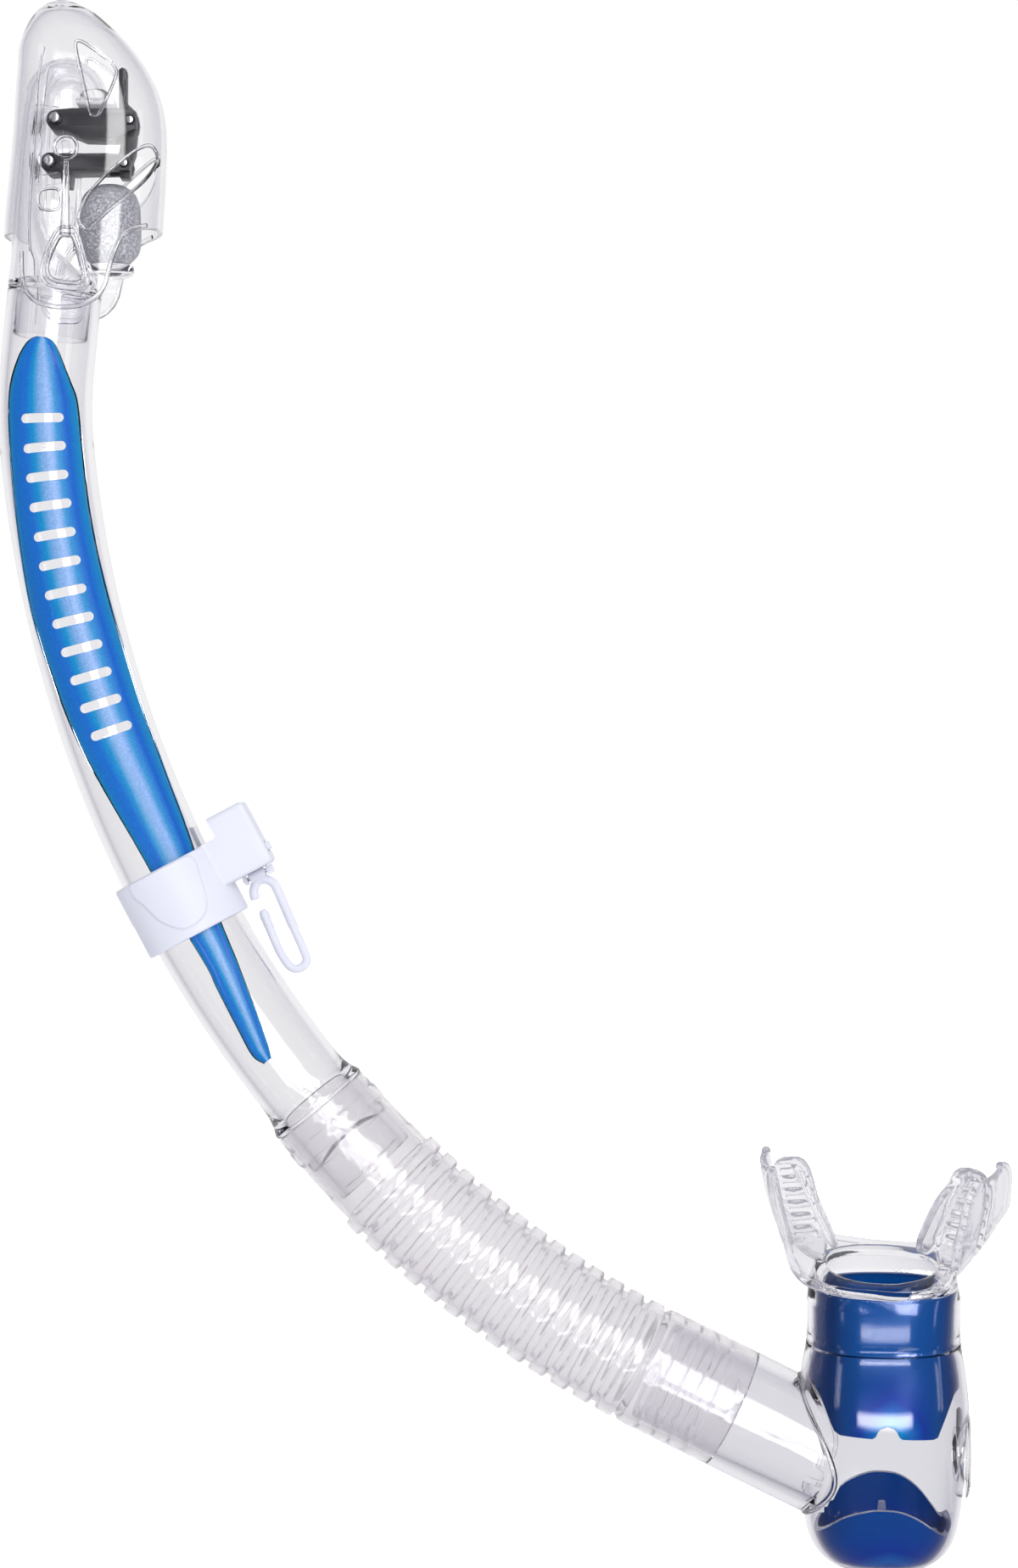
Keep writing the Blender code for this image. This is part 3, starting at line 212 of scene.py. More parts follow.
def blue_inlay_material():
    """Pearl blue: bands across the strip, the pale one just right of the middle a painted
    highlight, with fine flakes under a thin gloss coat.
    """
    material, nodes = new_material("pearl_blue_inlay")
    coords = nodes.object_coords()
    flakes = nodes.noise(2600.0, detail=2.0, rough=0.7, vector=coords)
    soft = nodes.noise(35.0, detail=2.0, vector=coords)
    sway = nodes.math("MULTIPLY", nodes.math("SUBTRACT", soft, 0.5), 0.05)
    # the pale band at 0.48 to 0.60 across is a painted highlight; the deeper blue and teal bands
    # are the strip's colour
    bands_and_highlight = nodes.ramp(nodes.math("ADD", nodes.attribute("across"), sway), (
        (0.00, (0.0, 0.20, 0.36)), (0.08, (0.0, 0.12, 0.42)), (0.25, (0.0, 0.11, 0.46)),
        (0.38, (0.0, 0.21, 0.46)), (0.48, (0.14, 0.30, 0.56)), (0.60, (0.22, 0.36, 0.66)),
        (0.70, (0.03, 0.23, 0.50)), (0.84, (0.0, 0.085, 0.44)), (1.00, (0.0, 0.20, 0.38))))
    fleck = nodes.ramp(flakes, (
        (0.30, (0.78, 0.80, 0.84)), (0.55, (1.0, 1.0, 1.0)), (0.78, (1.45, 1.38, 1.30))))
    nodes.finish(nodes.add(
        "BsdfPrincipled",
        Base_Color=nodes.mix(1.0, bands_and_highlight, fleck, "MULTIPLY"),
        Metallic=0.0,
        Specular_IOR_Level=0.25,
        Roughness=nodes.scaled(flakes, factor=0.18, offset=0.38),
        Coat_Weight=0.12,
        Coat_Roughness=0.10,
        Normal=nodes.bump(flakes, strength=0.12, distance=0.00005)))
    return material


def deep_blue_material(name, dim, highlight_colour):
    """Metallic blue with painted light: a painted highlight, brightest low in the middle of the
    piece, and painted shade, navy where it turns away and towards its sides.
    """
    material, nodes = new_material(name)
    down, side = nodes.attribute("down"), nodes.attribute("side")
    wash = nodes.noise(45.0, detail=2.0)
    flakes = nodes.noise(2200.0, detail=2.0, rough=0.7)
    # painted highlight: brightest low down and near the middle of the piece
    centre = nodes.math("SUBTRACT", 1.0, nodes.math("MULTIPLY", side, 1.35), clamp=True)
    glow = nodes.math("MULTIPLY", nodes.math("POWER", down, 2.4),
                      nodes.math("POWER", centre, 0.8), clamp=True)
    drift = nodes.math("MULTIPLY", nodes.math("SUBTRACT", wash, 0.5), 0.10)
    glow = nodes.math("ADD", glow, drift, clamp=True)
    base = nodes.ramp(glow, (
        (0.0, dim), (0.35, (0.0, 0.040, 0.36)), (0.62, (0.0, 0.13, 0.50)), (1.0, highlight_colour)))
    # painted shade: navy where the surface turns away and towards the sides
    facing = nodes.add("LayerWeight", Blend=0.5).outputs["Facing"]
    side_shade = nodes.math("MULTIPLY", nodes.math("POWER", side, 2.2), 0.8)
    painted_shade = nodes.math("POWER", nodes.math("MAXIMUM", facing, side_shade), 1.6)
    colour = nodes.mix(painted_shade, base, (0.0, 0.006, 0.05))
    fleck = nodes.ramp(flakes, (
        (0.30, (0.85, 0.86, 0.9)), (0.60, (1.0, 1.0, 1.0)), (0.80, (1.30, 1.25, 1.2))))
    nodes.finish(nodes.add(
        "BsdfPrincipled",
        Base_Color=nodes.mix(1.0, colour, fleck, "MULTIPLY"),
        Metallic=0.2,
        Roughness=nodes.scaled(wash, factor=0.08, offset=0.18),
        Coat_Weight=1.0,
        Coat_Roughness=0.03,
        Normal=nodes.bump(flakes, strength=0.05, distance=0.00004)))
    return material


def moulded_material(name, colour, shade, roughness, grain=900.0, grain_strength=0.12,
                     subsurface=0.0):
    """Moulded plastic with a fine grain and a slight drift of colour."""
    material, nodes = new_material(name)
    fine, drift = nodes.noise(grain, detail=4.0, rough=0.6), nodes.noise(40.0)
    amount = nodes.ramp(drift, ((0.35, (0, 0, 0)), (0.70, (1, 1, 1))))
    shader = nodes.add(
        "BsdfPrincipled",
        Base_Color=nodes.mix(amount, colour, shade),
        Roughness=nodes.scaled(fine, factor=0.14, offset=roughness - 0.07),
        Normal=nodes.bump(fine, strength=grain_strength, distance=0.00005))
    if subsurface:
        shader.inputs["Subsurface Weight"].default_value = subsurface
        shader.inputs["Subsurface Radius"].default_value = (0.003, 0.003, 0.004)
    nodes.finish(shader)
    return material


def float_material():
    """Grey closed-cell float: pale grains pressed together, with painted shade, darker where it
    turns away.
    """
    material, nodes = new_material("float_grain")
    coords = nodes.object_coords()
    cells = nodes.add("TexVoronoi", Vector=coords, Scale=1500.0).outputs["Distance"]
    grain = nodes.noise(1800.0, rough=0.7, vector=coords)
    speckle = nodes.math("MULTIPLY", grain, nodes.scaled(cells, factor=0.8, offset=0.5))
    colour = nodes.ramp(speckle, (
        (0.20, (0.16, 0.16, 0.18)), (0.42, (0.27, 0.27, 0.30)), (0.62, (0.55, 0.55, 0.59))))
    # painted shade: the grains fade to dark grey where the surface turns away
    facing = nodes.add("LayerWeight", Blend=0.4).outputs["Facing"]
    nodes.finish(nodes.add(
        "BsdfPrincipled",
        Base_Color=nodes.mix(nodes.math("MULTIPLY", facing, 0.8), colour, (0.17, 0.17, 0.20)),
        Roughness=0.38,
        Normal=nodes.bump(speckle, strength=0.35)))
    return material


def steel_material():
    material, nodes = new_material("pin_steel")
    grain = nodes.noise(1400.0, rough=0.6)
    nodes.finish(nodes.add(
        "BsdfPrincipled",
        Base_Color=nodes.ramp(grain, ((0.3, (0.52, 0.52, 0.55)), (0.7, (0.74, 0.74, 0.77)))),
        Metallic=1.0,
        Roughness=nodes.scaled(grain, factor=0.15, offset=0.18),
        Normal=nodes.bump(grain, strength=0.1, distance=0.00003)))
    return material


# each finish is (material, slot name)
# the edge colours are painted shade at grazing angles
clear = (clear_material(
    "clear_polycarbonate", tint=(0.965, 0.962, 0.975), edge=(0.60, 0.59, 0.65),
    roughness=0.015, ior=1.47), "clear_plastic")
clear_hood = (clear_material(
    "clear_hood", tint=(0.965, 0.963, 0.975), edge=(0.50, 0.49, 0.56),
    roughness=0.012, ior=1.42), "clear_plastic")
clear_inner = (clear_material(
    "clear_inner", tint=(0.95, 0.947, 0.962), edge=(0.66, 0.65, 0.71),
    roughness=0.02, ior=1.16), "clear_plastic")
clear_chamber = (clear_material(
    "clear_chamber", tint=(0.905, 0.902, 0.928), edge=(0.55, 0.54, 0.61),
    roughness=0.012, ior=1.46), "clear_plastic")
hose_silicone = (clear_material(
    "hose_silicone", tint=(0.958, 0.945, 0.957), edge=(0.76, 0.73, 0.77),
    roughness=0.035, ior=1.36, milk=0.15, milk_colour=(0.87, 0.845, 0.88),
    ripple_scale=140.0, ripple_strength=0.10), "clear_silicone")
mouth_silicone = (clear_material(
    "mouth_silicone", tint=(0.965, 0.96, 0.975), edge=(0.70, 0.69, 0.75),
    roughness=0.05, ior=1.27, milk=0.13, milk_colour=(0.84, 0.83, 0.89),
    ripple_scale=60.0, ripple_strength=0.02, milk_where="wing"), "mouth_silicone")
soft_silicone = (clear_material(
    "soft_silicone", tint=(0.94, 0.935, 0.95), edge=(0.70, 0.69, 0.74),
    roughness=0.06, ior=1.38, milk=0.20), "clear_silicone")
inlay_blue = (blue_inlay_material(), "pearl_blue")
# each deep blue runs from dim to a painted highlight low in the middle, with painted shade at its
# sides
shroud_blue = (deep_blue_material(
    "deep_blue_shroud", dim=(0.0, 0.075, 0.32), highlight_colour=(0.0, 0.33, 0.68)), "deep_blue")
cover_blue = (deep_blue_material(
    "deep_blue_cover", dim=(0.0, 0.06, 0.30), highlight_colour=(0.0, 0.05, 0.42)), "deep_blue")
white = (moulded_material(
    "white_satin", colour=(0.585, 0.597, 0.685), shade=(0.625, 0.637, 0.715),
    roughness=0.45, subsurface=0.04), "white_plastic")
black = (moulded_material(
    "black_acetal", colour=(0.012, 0.012, 0.016), shade=(0.022, 0.020, 0.026),
    roughness=0.42, grain=1600.0, grain_strength=0.25), "black_plastic")
grey = (float_material(), "float_grey")
steel = (steel_material(), "pin_steel")


# ---------------------------------------------------------------- lines and rings
def unit(value):
    return min(1.0, max(0.0, value))


def full_turn(count):
    """Angles in radians, evenly round a circle."""
    return [2 * pi * i / count for i in range(count)]


def smooth_line(points, steps, closed=False):
    """A Catmull-Rom line through the points."""
    line = []
    knots = [Vector(p) for p in points]
    if closed:
        knots = [knots[-1], *knots, knots[0], knots[1]]
    else:
        knots = [knots[0], *knots, knots[-1]]
    for i in range(1, len(knots) - 2):
        before, start, end, after = knots[i - 1:i + 3]
        for k in range(steps):
            t = k / steps
            line.append(0.5 * (2 * start + (end - before) * t
                               + (2 * before - 5 * start + 4 * end - after) * t * t
                               + (3 * start - before - 3 * end + after) * t * t * t))
    if not closed:
        line.append(Vector(points[-1]))
    return line


def round_outline(points, steps=5):
    return [(p.x, p.y) for p in smooth_line(points, steps, True)]


def circle(centre_x, centre_z, radius, count=32, start=0.0, end=360.0):
    """A whole circle, or an arc that includes its end point, in the XZ plane."""
    spans = count if abs(end - start) >= 360 else count - 1
    turns = [radians(start + (end - start) * i / spans) for i in range(count)]
    return [(centre_x + radius * cos(t), centre_z + radius * sin(t)) for t in turns]


def oval(centre_x, z, half_x, half_y, count=96, power=2.0):
    """A level superellipse; a higher power is squarer."""
    return [(centre_x + half_x * copysign(abs(cos(t)) ** (2 / power), cos(t)),
             half_y * copysign(abs(sin(t)) ** (2 / power), sin(t)), z)
            for t in full_turn(count)]


# ---------------------------------------------------------------- mesh helpers
def new_object(name, data):
    obj = bpy.data.objects.new(name, data)
    scene.collection.objects.link(obj)
    return obj


def mesh_object(shape, name="part"):
    mesh = bpy.data.meshes.new(name)
    shape.to_mesh(mesh)
    shape.free()
    return new_object(name, mesh)


def solid(shape, matrix=None):
    """A mesh object from a closed bmesh in millimetres, its faces turned outwards."""
    if matrix is not None:
        shape.transform(matrix)
    shape.transform(Matrix.Scale(MM, 4))
    bmesh.ops.recalc_face_normals(shape, faces=shape.faces)
    if shape.calc_volume(signed=True) < 0:
        bmesh.ops.reverse_faces(shape, faces=shape.faces)
    return mesh_object(shape)


def add_rows(shape, rings):
    return [[shape.verts.new(Vector(p)) for p in ring] for ring in rings]


def add_band(shape, first, second):
    """Faces between two rows of vertices."""
    for j in range(len(first)):
        k = (j + 1) % len(first)
        shape.faces.new((first[j], first[k], second[k], second[j]))


def add_prism(shape, first, second):
    rows = add_rows(shape, (first, second))
    for row in rows:
        shape.faces.new(row)
    add_band(shape, *rows)


def loft(rings, matrix=None, closed=False):
    """A skin over rings: joined end to end if closed, otherwise capped."""
    shape = bmesh.new()
    rows = add_rows(shape, rings)
    for i in range(len(rows) if closed else len(rows) - 1):
        add_band(shape, rows[i], rows[(i + 1) % len(rows)])
    if not closed:
        shape.faces.new(rows[0])
        shape.faces.new(rows[-1])
    return solid(shape, matrix)


def cup(outer_rings, inner_rings, matrix=None):
    """Two stacks of rings joined at their first ring, each closed at its last."""
    shape = bmesh.new()
    outer, inner = add_rows(shape, outer_rings), add_rows(shape, inner_rings)
    for rows in (outer, inner):
        for first, second in zip(rows, rows[1:]):
            add_band(shape, first, second)
        shape.faces.new(rows[-1])
    add_band(shape, outer[0], inner[0])
    return solid(shape, matrix)


def box(low, high, matrix=None):
    shape = bmesh.new()
    bmesh.ops.create_cube(shape, size=1.0)
    bmesh.ops.scale(shape, vec=[b - a for a, b in zip(low, high)], verts=shape.verts)
    middle = [(b + a) / 2 for a, b in zip(low, high)]
    bmesh.ops.translate(shape, vec=middle, verts=shape.verts)
    return solid(shape, matrix)


def rod(start, end, radius, matrix=None, segments=48):
    start, end = Vector(start), Vector(end)
    shape = bmesh.new()
    bmesh.ops.create_cone(shape, cap_ends=True, segments=segments, radius1=radius,
                          radius2=radius, depth=(end - start).length)
    turn = Vector((0, 0, 1)).rotation_difference(end - start).to_matrix().to_4x4()
    shape.transform(Matrix.Translation((start + end) / 2) @ turn)
    return solid(shape, matrix)


def turned(profile, matrix=None, steps=64):
    """Turned about Z from (radius, height): both ends on the axis, or a closed ring."""
    shape = bmesh.new()
    rows = add_rows(shape, [
        [(0, 0, z)] if radius <= 1e-6
        else [(radius * cos(t), radius * sin(t), z) for t in full_turn(steps)]
        for radius, z in profile])
    pairs = list(zip(rows, rows[1:]))
    if len(rows[0]) > 1 and len(rows[-1]) > 1:
        pairs.append((rows[-1], rows[0]))
    for a, b in pairs:
        for j in range(steps):
            k = (j + 1) % steps
            face = [a[j % len(a)], a[k % len(a)], b[k % len(b)], b[j % len(b)]]
            shape.faces.new(list(dict.fromkeys(face)))
    return solid(shape, matrix)


def plate(outline, low, high, matrix=None, holes=()):
    """A flat (x, z) outline, filled from y=low to y=high."""
    curve = bpy.data.curves.new("outline", "CURVE")
    curve.dimensions, curve.fill_mode = "2D", "BOTH"
    curve.extrude = (high - low) / 2
    for points in (outline, *holes):
        spline = curve.splines.new("POLY")
        spline.points.add(len(points) - 1)
        for point, (x, z) in zip(spline.points, points):
            point.co = (x, z, 0, 1)
        spline.use_cyclic_u = True
    drawn = new_object("outline", curve)
    mesh = evaluated_mesh(drawn)
    bpy.data.objects.remove(drawn)
    shape = bmesh.new()
    shape.from_mesh(mesh)
    bpy.data.meshes.remove(mesh)
    bmesh.ops.remove_doubles(shape, verts=shape.verts, dist=1e-4)
    shape.transform(Matrix.Translation((0, (low + high) / 2, 0)) @ Matrix.Rotation(pi / 2, 4, "X"))
    return solid(shape, matrix)


def wire(points, radius, matrix=None, closed=False, sides=12, flat=1.0, flat_axis=None):
    """A bar swept along a line, of one radius or one per point; flat thins it on flat_axis."""
    line = [Vector(p) for p in points]
    count = len(line)
    rings = []
    normal = None
    for i, point in enumerate(line):
        before = line[(i - 1) % count] if closed or i else point
        after = line[(i + 1) % count] if closed or i < count - 1 else point
        tangent = (after - before).normalized()
        if flat_axis is not None:
            normal = Vector(flat_axis)
        elif normal is None:
            normal = Vector((0, 1, 0)) if abs(tangent.y) < 0.9 else Vector((1, 0, 0))
        normal = (normal - tangent * normal.dot(tangent)).normalized()
        side = tangent.cross(normal)
        size = radius[i] if isinstance(radius, list) else radius
        rings.append([tuple(point + (normal * cos(t) * flat + side * sin(t)) * size)
                      for t in full_turn(sides)])
    return loft(rings, matrix, closed)


def evaluated_mesh(obj):
    bpy.context.view_layer.update()
    evaluated = obj.evaluated_get(bpy.context.evaluated_depsgraph_get())
    return bpy.data.meshes.new_from_object(evaluated)


def apply(obj):
    mesh = evaluated_mesh(obj)
    old = obj.data
    obj.modifiers.clear()
    obj.data = mesh
    bpy.data.meshes.remove(old)
    return obj


def boolean(obj, operation, tools):
    """Applies each tool in turn and removes it."""
    for tool in tools:
        modifier = obj.modifiers.new("cut", "BOOLEAN")
        modifier.operation, modifier.solver, modifier.object = operation, "EXACT", tool
        apply(obj)
        bpy.data.objects.remove(tool)
    return obj


def cut(obj, *tools):
    return boolean(obj, "DIFFERENCE", tools)


def fuse(obj, *tools):
    return boolean(obj, "UNION", tools)


def join(objects):
    """Closed bodies put together in one object, still overlapping."""
    shape = bmesh.new()
    for obj in objects:
        shape.from_mesh(obj.data)
        bpy.data.objects.remove(obj)
    return mesh_object(shape)


def meld(objects, voxel, smooth):
    """One soft moulded body from overlapping ones."""
    obj = join(objects)
    remesh = obj.modifiers.new("meld", "REMESH")
    remesh.mode, remesh.voxel_size = "VOXEL", voxel * MM
    remesh.use_smooth_shade = True
    soften = obj.modifiers.new("soften", "SMOOTH")
    soften.factor, soften.iterations = 0.5, smooth
    return apply(obj)


def bevel(obj, width, segments=3, angle=35):
    edges = obj.modifiers.new("edges", "BEVEL")
    edges.width, edges.segments = width * MM, segments
    edges.limit_method, edges.angle_limit = "ANGLE", radians(angle)
    edges.harden_normals = False
    return apply(obj)


def surface_of(obj):
    """The object's surface as it is now, for casting rays at."""
    shape = bmesh.new()
    shape.from_mesh(obj.data)
    tree = BVHTree.FromBMesh(shape)
    shape.free()
    return tree


def piece(obj, name, finish, body, in_cad=True, sharp=35, attributes=None, blend=None):
    """Names, shades and fastens a finished piece.

    Attributes are functions of a point in mm. With blend, its (start, end) in metres, the
    piece is baked in place and rides no body; otherwise it rides one.
    """
    material, slot = finish
    obj.name = obj.data.name = name + "_visual"
    obj.data.materials.clear()
    obj.data.materials.append(material)
    obj.data.shade_smooth()
    if sharp:
        obj.data.set_sharp_from_angle(angle=radians(sharp))
    for key, value_at in (attributes or {}).items():
        values = obj.data.attributes.new(key, "FLOAT", "POINT").data
        for vertex in obj.data.vertices:
            values[vertex.index].value = value_at(vertex.co / MM)
    if blend:
        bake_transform(obj)
    else:
        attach(obj, body)
    if in_cad:
        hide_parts(name)


def pin(name, start, end, radius, edge, body, matrix=None):
    piece(bevel(rod(start, end, radius, matrix), edge), name, steel, body)


# ---------------------------------------------------------------- axes and frames
LOW_LENGTH = radians(ARC_LOW - ARC_HIGH) * ARC_R
HIGH_LENGTH = radians(ARC_HIGH - TOP_END) * TOP_R


def arc_point(angle):
    turn = radians(angle)
    return (ARC_CENTRE[0] - ARC_R * cos(turn), ARC_CENTRE[1] - ARC_R * sin(turn))


ARC_END = arc_point(ARC_HIGH)
TOP_CENTRE = (ARC_END[0] + TOP_R * cos(radians(ARC_HIGH)),
              ARC_END[1] + TOP_R * sin(radians(ARC_HIGH)))


def tube_axis(distance):
    """X, Z and lean of the tube's centre line, by distance up from its foot."""
    if distance <= LOW_LENGTH:
        angle = ARC_LOW - degrees(distance / ARC_R)
        return (*arc_point(angle), angle)
    angle = max(TOP_END, ARC_HIGH - degrees((distance - LOW_LENGTH) / TOP_R))
    turn = radians(angle)
    beyond = max(0.0, distance - LOW_LENGTH - HIGH_LENGTH)
    return (TOP_CENTRE[0] - TOP_R * cos(turn) - sin(turn) * beyond,
            TOP_CENTRE[1] - TOP_R * sin(turn) + cos(turn) * beyond, angle)


def tube_surface(distance, radius, turn):
    """A point round the tube; a turn of 0 is its right side and 90 its front."""
    x, z, angle = tube_axis(distance)
    lean, turn = radians(angle), radians(turn)
    return (x + radius * cos(turn) * cos(lean), -radius * sin(turn),
            z + radius * cos(turn) * sin(lean))


def tube_ring(distance, radius):
    return [tube_surface(distance, radius, 360 * i / 96) for i in range(96)]


def hose_axis(distance):
    """X, Z and direction of the hose's centre line, by distance down from the tube's foot."""
    x, z = arc_point(ARC_LOW)
    along_x, along_z = HOSE_DIR
    side_x, side_z = -along_z, along_x
    turn = min(distance, HOSE_BEND) / HOSE_R
    x = x + HOSE_R * (sin(turn) * along_x + (1 - cos(turn)) * side_x)
    z = z + HOSE_R * (sin(turn) * along_z + (1 - cos(turn)) * side_z)
    end_x = cos(turn) * along_x + sin(turn) * side_x
    end_z = cos(turn) * along_z + sin(turn) * side_z
    rest = max(0.0, distance - HOSE_BEND)
    return x + end_x * rest, z + end_z * rest, end_x, end_z


def hose_ring(distance, radius):
    x, z, along_x, along_z = hose_axis(distance)
    return [(x + radius * cos(t) * -along_z, radius * sin(t), z + radius * cos(t) * along_x)
            for t in full_turn(96)]


def move(x, z):
    return Matrix.Translation((x, 0, z))


def tilt(angle, axis):
    return Matrix.Rotation(radians(angle), 4, axis)


# the chamber's frame has its origin where the hose ends, and tilts about the inlet pipe
inlet_x, INLET_Z, along_x, along_z = hose_axis(HOSE_L)
INLET_AXIS = Vector((along_x, 0, along_z)).normalized()
CHAMBER_M = move(inlet_x, INLET_Z) @ tilt(CHAMBER_TILT, INLET_AXIS)
CHAMBER_INVERSE = CHAMBER_M.inverted()
AXIS_X = CHAMBER_X - inlet_x
MOUTH_TURN = tilt(MOUTH_ROLL, "Y") @ tilt(MOUTH_TILT, "X") @ tilt(MOUTH_YAW, "Z")
MOUTH_M = CHAMBER_M @ move(AXIS_X, MOUTH_Z - INLET_Z) @ MOUTH_TURN
# keeper frames: Z along the tube, X out from its right side
KEEPER_M = move(*arc_point(KEEPER_ANGLE)) @ Matrix.Rotation(-radians(KEEPER_ANGLE), 4, "Y")
BLOCK_M = KEEPER_M @ move(BLOCK_SHIFT, 0)
HOOK_M = BLOCK_M @ move(HOOK_OUT, -HOOK_DROP)
FLOAT_M = move(*FLOAT_PIVOT)
SEAL_M = move(*SEAL_PIVOT)
LINK_M = FLOAT_M @ move(ARM_L, 0)

# ---------------------------------------------------------------- upper tube
# (distance up the tube, radius): spigot, flared rim, then down to the plain tube
TUBE_FOOT = (
    (-SPIGOT_L, 11.6), (-21.7, 12.0), (-12.2, 12.2), (-12, 12.5), (-11.9, 12.6), (-9.1, 12.6),
    (-8.9, 12.5), (-8.7, 12.2), (-0.5, 12.2), (-0.2, 13.8), (0.0, 14.0), (0.4, 14.1),
    (0.9, 14.05), (1.6, 13.75), (2.5, 13.3), (3.6, 12.95), (5.0, 12.6), (6.4, 12.4), (8.0, 12.28))
BAND_AT, BAND_HALF, BAND_LIFT = 190.5, 0.4, 0.07  # a faint raised band round the tube
BORE_STEP, BORE_WAVE = 3.0, 0.036

# the inlay: (distance up the tube, left edge, right edge), edges from the centre line
INLAY = (
    (216.9, -1.9, 0.7), (216.3, -3.3, 2.1), (214.9, -4.6, 3.3), (212.0, -6.1, 4.9),
    (206.1, -7.8, 7.6), (200.6, -8.4, 9.4), (190.0, -8.7, 10.0), (170.0, -9.4, 9.9),
    (147.4, -10.1, 10.4), (131.0, -9.0, 10.9), (114.0, -7.7, 11.0), (96.6, -5.1, 10.8),
    (78.6, -3.0, 9.9), (49.3, -1.9, 6.3), (40.6, -2.6, 4.9), (29.2, -3.9, 2.5),
    (21.0, -4.9, 0.1), (17.6, -3.6, -1.4))
INLAY_RISING = sorted(INLAY)
INLAY_T, INLAY_BED, BED_MARGIN = 0.8, 1.2, 0.12
SLOT_N, SLOT_PITCH, SLOT_W, SLOT_L, SLOT_TOP = 12, 7.6, 2.5, 11.0, 196.0


def inlay_strip(low_radius, high_radius, across, steps, margin=0.0, crown=0.0, edge=0.0):
    """The inlay's outline between two radii; crown drops its sides, edge lifts a line in each."""
    line = smooth_line(INLAY, steps)
    rings = []
    for i, (distance, left, right) in enumerate(line):
        if i == 0:
            distance += margin
        if i == len(line) - 1:
            distance -= margin
        left, right = left - margin, right + margin
        first, last = degrees(acos(right / TUBE_R)), degrees(acos(left / TUBE_R))
        over, under = [], []
        for k in range(across + 1):
            t = k / across
            turn = first + (last - first) * t
            from_edge = min(t, 1 - t) * (right - left)
            drop = crown * max(0.0, 1 - from_edge / 0.7) ** 2
            lift = edge * exp(-((from_edge - 1.0) / 0.35) ** 2)
            over.append(tube_surface(distance, high_radius - drop + lift, turn))
            under.append(tube_surface(distance, low_radius, first + (last - first) * k / across))
        rings.append(over + under[::-1])
    return loft(rings)


def build_tube():
    outer = [tube_ring(*station) for station in TUBE_FOOT]
    distance = 10.0
    while distance < TUBE_TOP:
        near = abs(distance - BAND_AT)
        outer.append(tube_ring(distance, TUBE_R + (BAND_LIFT if near < BAND_HALF else 0.0)))
        distance += 0.5 if near < 2.0 else 2.0
    outer += [tube_ring(TUBE_TOP - 0.3, TUBE_R), tube_ring(TUBE_TOP, TUBE_R - 0.3)]
    inner = [tube_ring(TUBE_TOP, BORE_R + 0.25), tube_ring(TUBE_TOP - 0.3, BORE_R)]
    distance = TUBE_TOP - BORE_STEP
    while distance > -SPIGOT_L:
        inner.append(tube_ring(distance, BORE_R + BORE_WAVE * sin(distance / 17.0)))
        distance -= BORE_STEP
    inner.append(tube_ring(-SPIGOT_L, BORE_R + 0.2))
    tube = loft(outer + inner, closed=True)
    cut(tube, inlay_strip(TUBE_R - INLAY_BED, TUBE_R + 1.5, across=24, steps=4,
                          margin=BED_MARGIN))
    piece(tube, "upper_tube", clear, "tube")


def inlay_edges(distance):
    """Left and right edge of the inlay at a distance up the tube."""
    if distance <= INLAY_RISING[0][0]:
        return INLAY_RISING[0][1:]
    for low, high in zip(INLAY_RISING, INLAY_RISING[1:]):
        if distance <= high[0]:
            t = (distance - low[0]) / (high[0] - low[0])
            return tuple(a + (b - a) * t for a, b in zip(low[1:], high[1:]))
    return INLAY_RISING[-1][1:]


def slot_outline(distance):
    """A round-ended slot across the inlay, as (x, z)."""
    left, right = inlay_edges(distance)
    x, z, angle = tube_axis(distance)
    lean = radians(angle)
    middle, radius = (left + right) / 2, SLOT_W / 2
    half = SLOT_L / 2 - SLOT_W / 2
    outline = []
    for side, start in ((1, -90), (-1, 90)):
        for i in range(13):
            t = radians(start + 180 * i / 12)
            over, up = middle + side * half + radius * cos(t), radius * sin(t)
            outline.append((x + over * cos(lean) - up * sin(lean),
                            z + over * sin(lean) + up * cos(lean)))
    return outline


def inlay_across(point):
    """0 at the inlay's left edge, 1 at its right edge."""
    turn = atan2(ARC_CENTRE[1] - point.z, ARC_CENTRE[0] - point.x)
    distance = radians(ARC_LOW) * ARC_R - turn * ARC_R
    if distance > LOW_LENGTH:
        turn = atan2(TOP_CENTRE[1] - point.z, TOP_CENTRE[0] - point.x)
        distance = LOW_LENGTH + (radians(ARC_HIGH) - turn) * TOP_R
    x, z, angle = tube_axis(min(max(distance, 0), TUBE_TOP))
    lean = radians(angle)
    over = (point.x - x) * cos(lean) + (point.z - z) * sin(lean)
    left, right = inlay_edges(distance)
    return unit((over - left) / max(right - left, 0.5))


def build_inlay():
    inlay = inlay_strip(TUBE_R - INLAY_T - 0.1, TUBE_R - 0.08, across=40, steps=8,
                        crown=0.35, edge=0.12)
    slots = bmesh.new()
    for k in range(SLOT_N):
        outline = slot_outline(SLOT_TOP - SLOT_PITCH * k)
        add_prism(slots, [(x, -20.0, z) for x, z in outline], [(x, -4.0, z) for x, z in outline])
    cut(inlay, solid(slots))
    piece(inlay, "tube_inlay", inlay_blue, "tube", attributes={"across": inlay_across})


